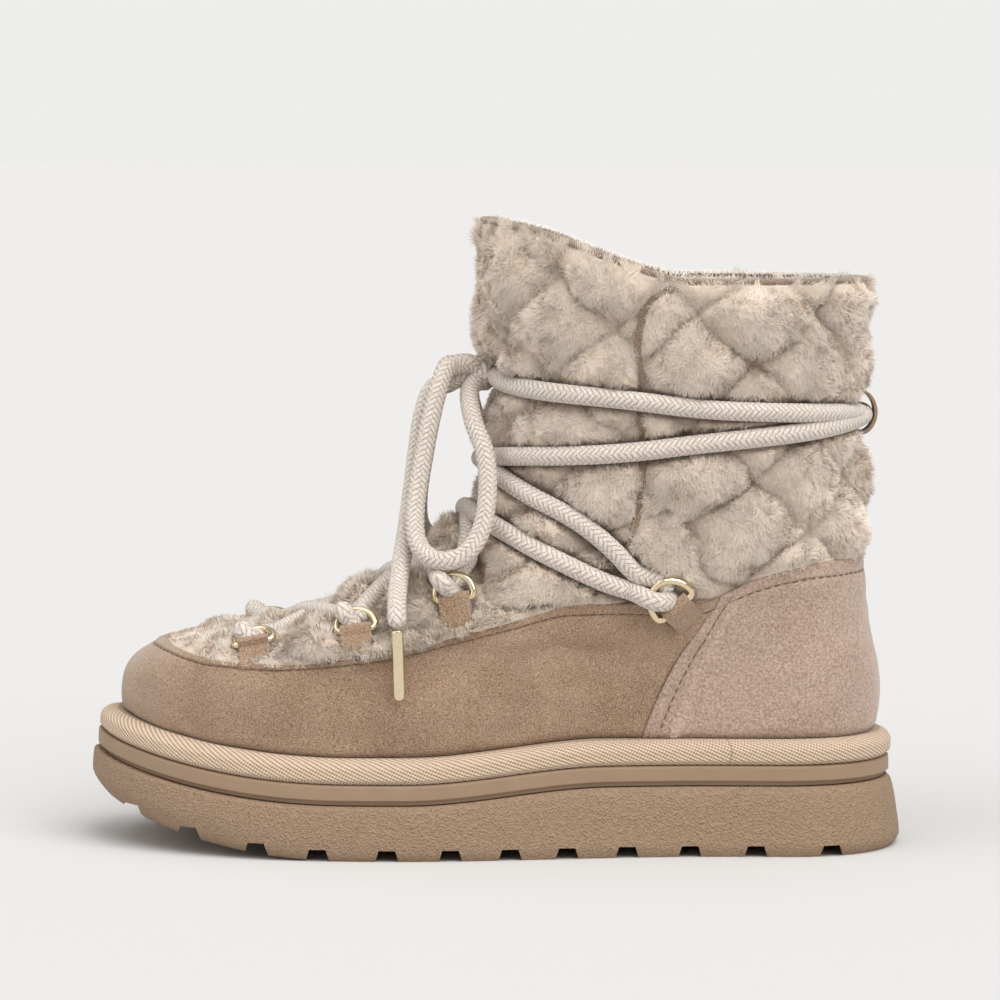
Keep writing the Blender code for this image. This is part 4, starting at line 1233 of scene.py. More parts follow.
def plush_pile(grid, sizes):
    """Tufts of hair over the padded face, short along the quilting and under the laces."""
    rng = np.random.default_rng(SEED)
    rows, columns = grid.free.shape
    tufts, many = sizes.tufts, sizes.hairs
    weight = (np.linalg.norm(grid.normals, axis=-1) * at_least(LACED_WEIGHT, grid.free)).ravel()
    picks = rng.choice(weight.size, tufts, p=weight / weight.sum())
    row = np.clip(picks // columns + rng.uniform(-0.5, 0.5, tufts), 0.0, rows - 1.001)
    column = picks % columns + rng.uniform(-0.5, 0.5, tufts)
    place = sampled(grid.points, row, column)
    normal = unit(sampled(grid.normals, row, column))
    free, sewn, level = (sampled(field, row, column) for field in (grid.free, grid.sewn, grid.level))
    x, z = place[:, 0], place[:, 2]
    vamp, toe = ease(*VAMP, x), ease(*TOE_FALL, x)
    rim, edge = ease(*RIM, level), 1.0 - ease(*SEWN_EDGE, level)

    calm = 1.0 - VAMP_CALM * vamp
    fall = COMB_DOWN - RIM_UP * rim - BRUSH_UP * (1.0 - ease(*BRUSHED, level))
    swirl, curl = (np.stack([waves(place, kind) for kind in kinds], axis=1) for kinds in (SWIRLS, CURLS))
    stray = STRAY * rng.normal(size=place.shape)
    lean = np.array([0.0, 0.0, -1.0]) * fall[:, None]
    lean += at_least(SWIRL_LEAST, calm)[:, None] * swirl + calm[:, None] * (curl + stray)
    lean -= normal * (lean * normal).sum(axis=1, keepdims=True)

    fluff = ease(*FLUFF, waves(place, FLUFF_WAVE)) * np.where(x < SEAM_X(z), QUARTER_FLUFF, 1.0)
    length = sizes.pile_length / MM * at_least(SEWN_LENGTH, sewn) * at_least(LACED_LENGTH, free)
    length *= 1.0 - EDGE_SHORT * edge
    length *= 1.0 + VAMP_FLUFF * (vamp - TOE_LESS * toe) - TOE_SHORT * ease(*TOE_FUR, x)
    length += rim * (RIM_LENGTH + RIM_FLUFF * fluff - length)
    length *= rng.uniform(0.8, 1.15, tufts)

    tone = 1.0 + waves(place, TONE_WAVE) + rng.normal(0.0, 0.035, tufts) * calm
    # Painted highlight: paler tufts at the collar, on the low rear and where the plush faces forward or back
    tone += COLLAR_HIGHLIGHT * ease(*COLLAR_BAND, level) - VAMP_DULL * vamp + TURNED_HIGHLIGHT * turned_share(normal)
    tone += REAR_HIGHLIGHT * (1.0 - ease(*LOW_REAR, z)) * (1.0 - ease(*REAR, x))
    # Painted shade along and beside the quilting and under laces, and a painted shadow along the edge sewn
    # to the suede
    valley = valley_shade(sewn, free, place, normal) * (1.0 - rim)
    valley = np.clip(valley + edge * (EDGE_SHADE + waves(place, EDGE_WAVE)), 0.0, 1.0)

    spread = rng.normal(size=(tufts, many, 3))
    spread -= normal[:, None] * (spread * normal[:, None]).sum(axis=2, keepdims=True)
    spread = unit(spread) * TUFT_REACH * np.sqrt(rng.uniform(0, 1, (tufts, many, 1)))
    hair_length = length[:, None] * (1.1 - rng.uniform(0.0, 0.4, (tufts, many)) * (1.0 + edge[:, None]))
    rise = normal[:, None] * rng.uniform(0.5, 0.95, (tufts, many, 1))
    ways = rise + lean[:, None] - TUFT_GATHER * spread / np.maximum(length[:, None, None], 1.0)
    ways += STRAY * rng.normal(size=ways.shape)
    roots = place[:, None] + spread - ROOT_SINK * normal[:, None]
    hair_tone = tone[:, None] + rng.normal(0.0, 0.04, (tufts, many))
    angle = (column % columns) * 360.0 / columns
    seam = np.interp(level, grid.level[:, 0], [seam_angle(value) for value in grid.level[:, 0]])
    for name, chosen in PILE_PIECES.items():
        here = chosen(angle, x, seam)
        hairs(
            name,
            roots[here].reshape(-1, 3),
            ways[here].reshape(-1, 3),
            np.repeat(normal[here], many, axis=0),
            hair_length[here].ravel(),
            sizes.pile_width / MM,
            hair_tone[here].ravel(),
            np.repeat(valley[here], many),
        )


LINING_HAIRS = 30000
LINING_REACH = 0.7
LINING_CROWD = 1.8
LINING_RIM = (0.97, 1.0)
LINING_RISE = 1.2
LINING_HAIR_WIDTH = 0.4


def lining_pile():
    """White fleece that shows over the collar and down the inside of the shaft."""
    rng = np.random.default_rng(SEED + 50)
    level = 1.0 - (1.0 - LINING_REACH) * rng.uniform(0, 1, LINING_HAIRS) ** LINING_CROWD
    base = course(level, rng.uniform(0, 360.0, LINING_HAIRS))
    normal = -last_normal(base)
    rim = ease(*LINING_RIM, level)
    roots = base + normal * (LINING_DEPTH + ROOT_SINK)
    roots[:, 2] += LINING_RISE * rim
    down = np.array([0.0, 0.0, -1.0]) * (0.7 - 1.9 * rim)[:, None]
    ways = normal * 0.6 + down + 0.4 * rng.normal(size=base.shape)
    lengths = rng.uniform(2.4, 4.0, LINING_HAIRS) * (1.0 - 0.5 * rim)
    tone = 1.0 + rng.normal(0.0, 0.04, LINING_HAIRS)
    shade = unit(normal + (0.0, 0.0, 0.9) * rim[:, None])
    valley = np.zeros(LINING_HAIRS)
    return hairs("pile_lining", roots, ways, shade, lengths, LINING_HAIR_WIDTH, tone, valley, "fleece")


class BOOT_OT_plush(bpy.types.Operator):
    """Quilted plush wall, its pile and the fleece inside the collar."""

    bl_idname = "boot.plush"
    bl_label = "Plush upper"

    def execute(self, context):
        sizes = context.scene.boot_sizes
        grid = plush_grid(sizes.puff / MM)
        plush_shell(grid)
        plush_pile(grid, sizes)
        lining_pile()
        return {"FINISHED"}


# Suede


BAND_WIDTH = 4.8
BAND_RISE = 0.45
STITCH_DROP = 5.4
GROOVE_DEPTH = 0.5
GROOVE_WIDTH = 0.6
EDGE_DROPS = (0.0, 0.0, 0.1, 0.35, 0.8, 1.4, 2.2, 3.1, 3.9, 4.4, 4.7, 5.0, 5.3, 5.6, 6.0, 6.6, 7.6, 9.0)
EDGE_ROLL = (-1.45, -0.95, -0.5, -0.15, 0.0)
LOWER_ROWS = 26
RAND_COLUMNS = 420
COUNTER_BAND = 5.2
COUNTER_STEPS = (0.0, 0.15, 0.4, 0.8, 1.4, 2.2, 3.1, 4.0, 4.6, 5.0, 5.4, 5.8, 6.4, 7.2, 8.4, 10.0)
COUNTER_MIDDLE = 90
STITCH_ROW = EDGE_DROPS.index(5.3)
STITCH_COLUMN = COUNTER_STEPS.index(5.0)
STITCH_RADIUS = 0.27
STITCH_SIDES = 6
# Shape of a stitch: shares of its length and of its radius
STITCH_BULGE = ((-0.5, 0.35), (-0.3, 0.9), (0.0, 1.0), (0.3, 0.9), (0.5, 0.35))
PANEL_LEVELS = np.linspace(TOP_LEVEL, -1.0, 61)
BACK_ROWS = [-1, 20, 0]
BOTTOM_TUCK = 0.7
SUEDE_WAVES = (Wave(0.22, 26.0, 31), Wave(0.1, 10.0, 32))
FLAT_REACH = 8.0
PUCKER = 0.1
PUCKER_REACH = 1.4
# Heel counter: ridge behind its front stitches, padding, wrinkles between, and the turned edge
RIDGE = 0.25
RIDGE_INSET = 1.1
RIDGE_REACH = 0.9
PADDING = 0.45
PADDING_REACH = 7.0
WRINKLES = Wave(0.16, 8.0, 41)
WRINKLE_SQUASH = (1.0, 1.0, 2.2)
WRINKLE_PLACE = 4.0
WRINKLE_REACH = 3.0
EDGE_TURN = 0.75
EDGE_TURN_REACH = 0.9
THREAD_LIFT = 0.1


def counter_edge(level):
    return np.interp(level, COUNTER_LEVELS, COUNTER_ANGLES)


def panel_levels(angle_at, columns):
    """Levels of a panel's rows: by millimetres under its top edge first, then even shares to the bottom."""
    levels = PANEL_LEVELS[:, None]
    points = course(levels, angle_at(levels, columns[None, :]))
    steps = np.linalg.norm(np.diff(points, axis=0), axis=2)
    run = np.concatenate([np.zeros((1, len(columns))), np.cumsum(steps, axis=0)])
    share = np.linspace(0, 1, LOWER_ROWS + 1)[1:, None]
    drops = np.array(EDGE_DROPS)[:, None] + np.zeros((1, len(columns)))
    drops = np.concatenate([drops, EDGE_DROPS[-1] + (run[-1] - EDGE_DROPS[-1]) * share])
    found = np.array([np.interp(drops[:, i], run[:, i], levels[:, 0]) for i in range(len(columns))]).T
    return found, drops


def groove(distance):
    """A sewn groove at a distance of zero."""
    return -GROOVE_DEPTH * hill(distance, GROOVE_WIDTH)


def closed_panel(name, face, offset, material):
    """A panel with a rolled top edge and a back, from points on the last and how far they stand out."""
    offset = offset.copy()
    offset[:len(EDGE_ROLL)] += np.array(EDGE_ROLL)[:, None]
    offset[-1] -= BOTTOM_TUCK
    front = proud(face, offset)
    back = proud(face[BACK_ROWS], np.full((len(BACK_ROWS), face.shape[1]), -RAND_THICK))
    sections = np.concatenate([front, back]).transpose(1, 0, 2)
    return sections_mesh(name, sections, material)


def arc_length(points):
    return np.concatenate([[0.0], np.cumsum(np.linalg.norm(np.diff(points, axis=0), axis=1))])


def rand_angle(level, share):
    edge = counter_edge(level)
    return edge + 0.1 + share * (359.8 - 2 * edge)


def suede_waves(face):
    """Soft unevenness of leather pulled over a last."""
    return waves(face, *SUEDE_WAVES)


# Creases of the rand: plan place, height, slope of the trough, length, width and depth
Crease = namedtuple("Crease", "x z slope length width depth")
CREASES = (
    Crease(-22.0, 72.0, 0.9, 15.0, 3.4, 0.45),
    Crease(-34.0, 62.0, 1.2, 13.0, 3.0, 0.4),
    Crease(34.0, 58.0, -0.35, 16.0, 3.6, 0.35),
    Crease(52.0, 55.0, -0.5, 12.0, 3.0, 0.35),
)


def crease_depth(face):
    depth = np.zeros(face.shape[:-1])
    for crease in CREASES:
        turn = math.atan(crease.slope)
        x, z = face[..., 0] - crease.x, face[..., 2] - crease.z
        along = (x * math.cos(turn) + z * math.sin(turn)) / crease.length
        across = (-x * math.sin(turn) + z * math.cos(turn)) / crease.width
        trough = np.exp(-along**2 - across**2)
        depth -= crease.depth * trough * (1.0 - 0.8 * across)
    return depth


def stitches(name, runs, sizes):
    """Thread dashes along runs of points and outward normals, as one mesh."""
    pitch, length = sizes.stitch_pitch / MM, sizes.stitch_length / MM
    ring = np.arange(STITCH_SIDES) * 2 * math.pi / STITCH_SIDES
    dash = grid_faces(len(STITCH_BULGE), STITCH_SIDES, wrap_columns=True)
    meshes, faces = [], []
    for points, normals in runs:
        run = arc_length(points)
        places = np.arange(pitch / 2, run[-1], pitch)
        spots, ahead, up = (
            np.stack([np.interp(at, run, values[:, i]) for i in range(3)], axis=1)
            for at, values in ((places, points), (places + 0.3, points), (places, normals)))
        way, up = unit(ahead - spots + 1e-9), unit(up)
        side = np.cross(way, up)
        for spot, along, across, out in zip(spots, way, side, up):
            round_ = STITCH_RADIUS * (across * np.cos(ring)[:, None] + out * np.sin(ring)[:, None])
            loop = [spot + along * length * share + size * round_ for share, size in STITCH_BULGE]
            faces.append(dash + len(meshes) * len(STITCH_BULGE) * STITCH_SIDES)
            meshes.append(np.array(loop).reshape(-1, 3))
    piece = add_mesh(name, np.vstack(meshes), [np.vstack(faces)], finish("thread"))
    return placed(piece, "tan_suede")


def sewn_run(face, offset, lift=0.0):
    """Points along a sewn line of a panel, and the normals there."""
    return proud(face, offset + lift), last_normal(face)


class BOOT_OT_rand(bpy.types.Operator):
    """Suede rand round the foot, with a raised sewn band along its top edge."""

    bl_idname = "boot.rand"
    bl_label = "Suede rand"

    def execute(self, context):
        sizes = context.scene.boot_sizes
        columns = np.linspace(0.0, 1.0, RAND_COLUMNS)
        levels, drops = panel_levels(rand_angle, columns)
        face = course(levels, rand_angle(levels, columns[None, :]))
        band = BAND_RISE * (1.0 - ease(BAND_WIDTH - 0.4, BAND_WIDTH + 0.2, drops))
        length = arc_length(face[len(EDGE_DROPS) - 1])
        pucker = PUCKER * np.cos(2 * math.pi * length / (sizes.stitch_pitch / MM))
        offset = band + groove(drops - STITCH_DROP) + pucker * hill(drops - STITCH_DROP, PUCKER_REACH)
        offset += (suede_waves(face) + crease_depth(face)) * ease(0.0, FLAT_REACH, drops)
        rand = closed_panel("suede_rand", face, offset, finish("suede"))
        placed(rand, "tan_suede", "vamp_rand")
        stitches("stitches_rand", [sewn_run(face[STITCH_ROW], offset[STITCH_ROW])], sizes)
        return {"FINISHED"}


def counter_face():
    """Places of the heel counter's points, and their distances from its top and front edges."""
    middle = np.linspace(-1.0, 1.0, COUNTER_MIDDLE)
    edge = counter_edge(PANEL_LEVELS)
    apart = course(PANEL_LEVELS, edge) - course(PANEL_LEVELS, edge - 1.0)
    degree = float(np.median(np.linalg.norm(apart, axis=1)))
    steps = np.array(COUNTER_STEPS) / degree

    def angle_at(level, column):
        edge = counter_edge(level)
        inner = edge - steps[-1]
        column = np.asarray(column, int)
        count = len(steps)
        left = -edge + steps[np.clip(column, 0, count - 1)]
        right = edge - steps[np.clip(count * 2 + COUNTER_MIDDLE - 1 - column, 0, count - 1)]
        centre = inner * middle[np.clip(column - count, 0, COUNTER_MIDDLE - 1)]
        return np.where(column < count, left, np.where(column < count + COUNTER_MIDDLE, centre, right))

    columns = np.arange(2 * len(steps) + COUNTER_MIDDLE)
    found, drops = panel_levels(angle_at, columns)
    angles = angle_at(found, columns[None, :])
    inset = (counter_edge(found) - np.abs(angles)) * degree
    return course(found, angles), drops, inset


class BOOT_OT_counter(bpy.types.Operator):
    """Suede heel counter, lapped over the rand and sewn along its top and front edges."""

    bl_idname = "boot.counter"
    bl_label = "Heel counter"

    def execute(self, context):
        sizes = context.scene.boot_sizes
        face, drops, inset = counter_face()
        offset = COUNTER_PROUD + groove(drops - STITCH_DROP) + groove(inset - COUNTER_BAND)
        offset += RIDGE * hill(inset - COUNTER_BAND + RIDGE_INSET, RIDGE_REACH)
        offset += PADDING * hill(inset, PADDING_REACH)
        offset += waves(face * WRINKLE_SQUASH, WRINKLES) * hill(inset - WRINKLE_PLACE, WRINKLE_REACH)
        offset += suede_waves(face) * ease(0.0, FLAT_REACH, drops) * ease(0.0, FLAT_REACH, inset)
        offset -= EDGE_TURN * (1.0 - ease(0.0, EDGE_TURN_REACH, inset)) ** 2
        counter = closed_panel("suede_counter", face, offset, finish("counter"))
        placed(counter, "tan_suede", "heel_counter")
        count, columns = len(COUNTER_STEPS), face.shape[1]
        lines = [(STITCH_ROW, slice(count - 2, columns - count + 2))]
        for column in (STITCH_COLUMN, columns - 1 - STITCH_COLUMN):
            lines.append((slice(STITCH_ROW, -1), column))
        runs = [sewn_run(face[line], offset[line], THREAD_LIFT) for line in lines]
        stitches("stitches_counter", runs, sizes)
        return {"FINISHED"}


# Sections of the binding and of the strip: out from the wall and up, and across the strip and out
BINDING_ROUND = (
    (-0.2, 0.0), (0.35, 0.35), (0.5, 0.9), (0.35, 1.4), (0.0, 1.75), (-0.5, 1.95),
    (-1.4, 2.0), (-3.4, 2.0), (-4.3, 1.9), (-4.8, 1.5), (-5.0, 1.0), (-4.9, 0.4),
)
BINDING_WAVE = Wave(0.12, 7.0, 61)
STRIP_ROUND = (
    (-0.5, -0.1), (-0.48, 0.75), (-0.36, 1.0), (-0.18, 0.9), (0.0, 0.8),
    (0.18, 0.9), (0.36, 1.0), (0.48, 0.75), (0.5, -0.1),
)


class BOOT_OT_bindings(bpy.types.Operator):
    """Suede binding round the collar and the strip down the front of each quarter."""

    bl_idname = "boot.bindings"
    bl_label = "Bindings"

    def execute(self, context):
        rim = course(1.0, SHELL_ANGLES)
        soft = waves(rim, BINDING_WAVE)
        rings = []
        for out, height in BINDING_ROUND:
            ring = proud(rim, out + soft)
            ring[:, 2] = rim[:, 2] + GAP + height * BINDING_HEIGHT / BINDING_DRAWN
            rings.append(ring)
        placed(hoop_mesh("suede_collar_binding", rings, finish("binding")), "tan_suede", "collar_binding")
        for name, side in SIDES.items():
            piece = sections_mesh("suede_strip_" + name, self.strip(side), finish("binding"))
            placed(piece, "tan_suede", "quarter_binding_" + name)
        return {"FINISHED"}

    def strip(self, side):
        """Sections of one strip, pressed in where a lace crosses it."""
        lines = (STRIP_FOOT, *QUARTER_SEAM[1:], *STRIP_TOP)
        route = smooth_route([(line.x, 0.0, line.z) for line in lines], STRIP_STEP)
        spine = last_point(route[:, 0], route[:, 2], side)
        normals = last_normal(spine)
        sideways = np.cross(unit(np.gradient(spine, axis=0)), normals)
        lean, out = np.array(STRIP_ROUND).T
        points = spine[:, None] + sideways[:, None] * (lean * STRIP_WIDTH)[:, None]
        dip = STRIP_DIP * (1.0 - free_of_laces(points))
        lift = STRIP_BACK + (STRIP_FACE - STRIP_BACK) * out - dip
        return points + normals[:, None] * lift[..., None]


# Rings, tabs and the keeper


RING_CORNER = 1.8
RING_STOUT = 1.25
RING_STEP = 0.8
TAB_FOLD = np.radians(np.linspace(-90, 125, 13))
TAB_KNEE = 0.5
TAB_ROUND = 0.3
KEEPER_ROUND = 0.35


def ring_frame(ring, side, tilt=0.0):
    """Middle of the bar, the ways along it and of the pull, and the outward normal, stood up by a tilt."""
    spot = last_point(np.array([ring.x]), np.array([ring.z]), side)
    normal = last_normal(spot)[0]
    near = last_point(np.array([ring.x + ring.pull_x]), np.array([ring.z + ring.pull_z]), side)
    pull = (near - spot)[0]
    pull -= normal * pull.dot(normal)
    pull /= np.linalg.norm(pull)
    height = ring.wire / 2 + GAP + TAB_THICK + GAP + ring.lift
    up, out = math.cos(math.radians(tilt)), math.sin(math.radians(tilt))
    along = np.cross(pull, normal)
    return spot[0] + normal * height, along, pull * up + normal * out, normal * up - pull * out


def arc(radius, turns):
    return [(radius * math.cos(turn), radius * math.sin(turn)) for turn in turns]


class BOOT_OT_rings(bpy.types.Operator):
    """Plated lace rings and the folded suede tabs that hold them."""

    bl_idname = "boot.rings"
    bl_label = "Rings and tabs"

    def execute(self, context):
        for side_name, side in SIDES.items():
            for place, ring in RINGS.items():
                self.ring(side_name + "_" + place, ring, side)
                self.tab(side_name + "_" + place, ring, side)
        return {"FINISHED"}

    def ring(self, name, ring, side):
        """A closed D of round wire."""
        centre, along, pull, _ = ring_frame(ring, side, ring.tilt)
        half = ring.bar / 2 + ring.wire / 2
        rise = ring.height - RING_CORNER
        arch = arc(1.0, np.radians(np.linspace(0, 180, 33)))
        outline = [(half * a, RING_CORNER + rise * b) for a, b in arch]
        corner = arc(RING_CORNER, np.radians(np.linspace(0, 90, 7)[1:]))
        outline += [(-half + RING_CORNER - a, RING_CORNER - b) for a, b in corner]
        outline += [(half - RING_CORNER + a, RING_CORNER - b) for a, b in corner[::-1]]
        loop = np.array([centre + along * a + pull * b for a, b in outline + outline[:1]])
        radius = ring.wire * RING_STOUT / 2
        piece = wire("d_ring_" + name, spaced(loop, RING_STEP)[:-1], radius, finish("gold"), closed=True)
        placed(piece, "pale_gold_plate", "ring_" + name)

    def tab(self, name, ring, side):
        """A strap folded round the bar of its ring."""
        centre, along, pull, normal = ring_frame(ring, side)
        hole = ring.wire / 2 + GAP
        fold = hole + TAB_THICK
        knee = ring.tail - TAB_TUCK
        section = [
            (-ring.tail, -fold - TAB_SINK), (-knee, -fold), *arc(fold, TAB_FOLD),
            (-knee * TAB_SHOULDER, TAB_SHOULDER_LIFT), (-knee, -fold + TAB_THICK + TAB_KNEE),
            (-ring.tail, -fold - TAB_SINK + TAB_THICK)]
        bore = arc(hole, [math.atan2(b, a) for a, b in section])
        shifts = [(section, shift) for shift in (-0.5, -0.25, 0.25, 0.5)] + [(bore, 0.5), (bore, -0.5)]
        loops = [[centre + along * shift * TAB_WIDTH + pull * a + normal * b for a, b in outline]
                 for outline, shift in shifts]
        piece = softened(hoop_mesh("suede_tab_" + name, loops, finish("suede")), TAB_ROUND)
        placed(piece, "tan_suede", "tab_" + name)


class BOOT_OT_keeper(bpy.types.Operator):
    """Suede loop at the back that holds both turns of the lace."""

    bl_idname = "boot.keeper"
    bl_label = "Back keeper"

    def execute(self, context):
        turns = np.radians(np.linspace(-90, 90, 25))
        back = SLICE_AT["back"](KEEPER_HEIGHT) - GAP
        outer, inner = (
            [(back - (KEEPER_DEPTH - thick) * a, KEEPER_HEIGHT + (KEEPER_HALF_SPAN - thick) * b)
             for a, b in arc(1.0, turns)]
            for thick in (0.0, TAB_THICK))
        section = outer + inner[::-1]
        loops = [[(x, y, z) for x, z in section] for y in np.linspace(-0.5, 0.5, 5) * KEEPER_WIDTH]
        piece = softened(sections_mesh("suede_keeper", loops, finish("suede")), KEEPER_ROUND)
        placed(piece, "tan_suede", "back_keeper")
        return {"FINISHED"}


# Lace


BRAID_YARNS = 8
BRAID_STEP = 0.8
BRAID_TURNS = 32
BRAID_PITCH = 2.0
BRAID_LIFT = 0.4
BRAID_THIN = (-0.6, 2.0)
STRAND_STEP = 5.0


def braid_lay(turn, run):
    """Yarns crossed along the two ways of the braid, for a share of the turn and millimetres along."""
    return BRAID_YARNS * turn + run / BRAID_PITCH, BRAID_YARNS * turn - run / BRAID_PITCH


def braided(name, points, diameter):
    """A two over two braided cord along points, thinned at both ends."""
    points = spaced(np.asarray(points, float), BRAID_STEP)
    _, sides, ups = along_frames(points)
    run = arc_length(points)
    turn = np.arange(BRAID_TURNS + 1) / BRAID_TURNS
    a, b = braid_lay(turn[None, :-1], run[:, None])
    over = np.mod(np.floor(a) + np.floor(b), 4) < 2
    across = np.where(over, a - np.floor(a), b - np.floor(b))
    low = BRAID_LIFT * (1.0 - np.sqrt(4 * across * (1.0 - across)))
    angle = 2 * math.pi * turn[:-1]
    spread = sides[:, None] * np.cos(angle)[:, None] + ups[:, None] * np.sin(angle)[:, None]
    ends = np.minimum(run, run[-1] - run)[:, None]
    radius = (diameter / 2 - low) * np.sqrt(ease(*BRAID_THIN, ends))
    piece = sections_mesh(name, points[:, None] + spread * radius[..., None], finish("cord"))
    set_lay(piece, len(points), BRAID_TURNS, lambda r, c: braid_lay(turn[c], run[r]))
    return piece


# Steps into a ring: shares of its height along the pull and of its half width across, and height over it
OVER_STEPS = ((0.8, 0.66, 2.9), (0.5, 0.35, 1.4), (0.32, 0.15, -1.6), (0.3, 0.0, -5.6))
UNDER_STEPS = ((1.0, -0.25, -2.6), (0.45, -0.2, -2.4))
ANKLE_OVER_STEPS = ((0.82, 0.68, 3.2), (0.5, 0.3, 1.9), (0.32, 0.05, -1.6), (0.3, -0.05, -4.6))


def ring_end(ring, side, over):
    """Points that take a strand over or under the arch of a ring into its opening."""
    centre, along, pull, normal = ring_frame(ring, side, ring.tilt)
    steps = OVER_STEPS if over else UNDER_STEPS
    if over and ring is RINGS["ankle"]:
        steps = ANKLE_OVER_STEPS
    half = ring.bar / 2
    return np.array([
        centre + pull * ring.height * up - along * side * half * across
        + normal * (out * ring.hump if out > 0 else out) for up, across, out in steps])


def threaded(route, place, lift, start=None, end=None):
    """A strand over the last whose ends run on into rings: ring name, side and whether it goes over."""
    curve = smooth_route(route, STRAND_STEP, stood_off(place, lift))
    if start:
        curve = np.vstack([ring_end(RINGS[start[0]], start[1], start[2])[::-1], curve[1:]])
    if end:
        curve = np.vstack([curve[:-1], ring_end(RINGS[end[0]], end[1], end[2])])
    return smooth_route(curve, BRAID_STEP)


KNOT_SIZE = 1.35
# Aglet from its top to its foot: shares of its length and of its radius
AGLET_PROFILE = (
    (0.0, 0.92), (0.01, 1.0), (0.05, 1.0), (0.07, 0.95), (0.1, 1.0),
    (0.93, 1.0), (0.96, 0.96), (0.985, 0.82), (1.0, 0.55),
)


class BOOT_OT_lace(bpy.types.Operator):
    """Braided lace: vamp crossings, ankle crossings and wraps, knot, bow loops and hanging ends."""

    bl_idname = "boot.lace"
    bl_label = "Lace"

    def execute(self, context):
        sizes = context.scene.boot_sizes
        diameter = sizes.lace_diameter / MM
        self.free_cords(sizes, diameter, self.knot(diameter))
        self.vamp(diameter)
        self.ankle(diameter)
        return {"FINISHED"}

    def free_cords(self, sizes, diameter, knot):
        """Bow loops and hanging ends, each a cord of its own length, with the knot and the metal tips."""
        for name, side in SIDES.items():
            turn = list if side > 0 else flipped
            loop = smooth_route(turn(BOW_LOOP), BRAID_STEP)
            end = smooth_route(turn(LACE_END), BRAID_STEP)
            aglet = self.aglet(name, turn((AGLET_TOP, AGLET_FOOT)), sizes.aglet_diameter / MM)
            for piece_name, points, far_end, extra in (
                ("bow_loop_" + name, loop, "object", [knot] if side > 0 else []),
                ("lace_end_" + name, end, "fitting", [aglet]),
            ):
                piece = braided("cord_" + piece_name, points, diameter)
                placed(piece, "braided_cord", piece_name)

    def aglet(self, name, ends, diameter):
        """A crimped metal tip, open at its top and rounded at its foot."""
        top, foot = np.array(ends, float)
        share, size = np.array(AGLET_PROFILE).T
        points = top + (foot - top) * share[:, None]
        piece = wire("metal_aglet_" + name, points, size * diameter / 2, finish("gold"), turns=24)
        return placed(piece, "pale_gold_plate", "aglet_" + name)

    def vamp(self, diameter):
        """Crossings over the vamp, each run through the rings at its ends."""
        runs = [threaded(TOE_BAR, on_vamp, 0.0, ("1", 1, True), ("1", -1, True))]
        for turn, side, lift in ((list, 1, CROSS_UNDER), (flipped, -1, CROSS_OVER)):
            for cross, low, high in zip(VAMP_CROSSES, ("1", "2"), ("2", "3")):
                runs.append(threaded(turn(cross), on_vamp, lift, (low, side, False), (high, -side, True)))
        for i, run in enumerate(runs):
            piece = braided(f"cord_vamp_{i + 1}", run, diameter)
            placed(piece, "braided_cord", "lace_vamp")

    def ankle(self, diameter):
        """Crossings to the ankle rings and the wraps round the shaft."""
        for name, turn, side, lift in (
            ("lateral", list, 1, CROSS_OVER), ("medial", other_side, -1, CROSS_UNDER)):
            cross = threaded(turn(ANKLE_CROSS), on_shaft, lift, ("3", -side, False), ("ankle", side, True))
            wrap = threaded(turn(WRAP), on_shaft, lift, ("ankle", -side, False))
            for kind, run in (("ankle", cross), ("wrap", wrap)):
                placed(braided(f"cord_{kind}_{name}", run, diameter), "braided_cord", "lace_ankle")

    def knot(self, diameter):
        """The knot of the bow: cord turned over and under itself three times."""
        turn = np.linspace(0.0, 2 * math.pi, 120)
        reach = KNOT_SIZE * (2.0 + np.cos(3 * turn))
        x = SLICE_AT["front"](KNOT_HEIGHT) + KNOT_STAND_OFF + KNOT_SIZE * np.sin(3 * turn)
        points = np.stack([x, reach * np.sin(2 * turn), KNOT_HEIGHT + reach * np.cos(2 * turn)], axis=1)
        piece = braided("cord_knot", points, diameter)
        return placed(piece, "braided_cord", "lace_knot")


# Sole


SOLE_COLUMNS = 360
SOLE_ANGLES = np.arange(SOLE_COLUMNS) * 360.0 / SOLE_COLUMNS


def sole_ring(row, angles, inset=0.0):
    share = (1.0 - np.cos(np.radians(angles))) / 2.0
    back, front = row.back + inset, row.front - inset
    x = back + share * (front - back)
    half = np.sqrt(np.maximum(outline_sq(
        x, back, front, row.rear_half - inset, row.fore_half - inset, SOLE_REAR_ROUND, SOLE_FORE_ROUND), 0))
    return x, centre_line(x) + np.where(np.sin(np.radians(angles)) >= 0, 1, -1) * half


def finer(rows, count):
    """Outlines between those of a table, evenly by level."""
    given = [row.level for row in rows]
    columns = [smooth_table(given, [getattr(row, key) for row in rows]) for key in Outline._fields[1:]]
    levels = np.linspace(0.0, 1.0, count)
    return [Outline(level, *(float(column(level)) for column in columns)) for level in levels]


def even_angles(row):
    """Angles that space points evenly along an outline."""
    angles = np.linspace(0.0, 360.0, 1441)
    x, y = sole_ring(row, angles)
    run = arc_length(np.stack([x, y, 0 * x], axis=1))
    even = np.interp(np.arange(SOLE_COLUMNS) * run[-1] / SOLE_COLUMNS, run, angles)
    return even, run[-1]


def capped(name, rings, material):
    """A solid through level rings, closed below and above by rungs from side to side."""
    rings = np.asarray(rings)
    rows, count = rings.shape[:2]
    i = np.arange(1, count // 2 - 1)
    rungs = np.stack([i, i + 1, count - i - 1, count - i], axis=1)
    tips = np.array([[0, 1, count - 1], [count // 2 - 1, count // 2, count // 2 + 1]])
    high = (rows - 1) * count
    faces = [grid_faces(rows, count, wrap_columns=True), rungs[:, ::-1], rungs + high]
    piece = add_mesh(name, rings, faces + [tips[:, ::-1], tips + high], material)
    outward(piece)
    return piece


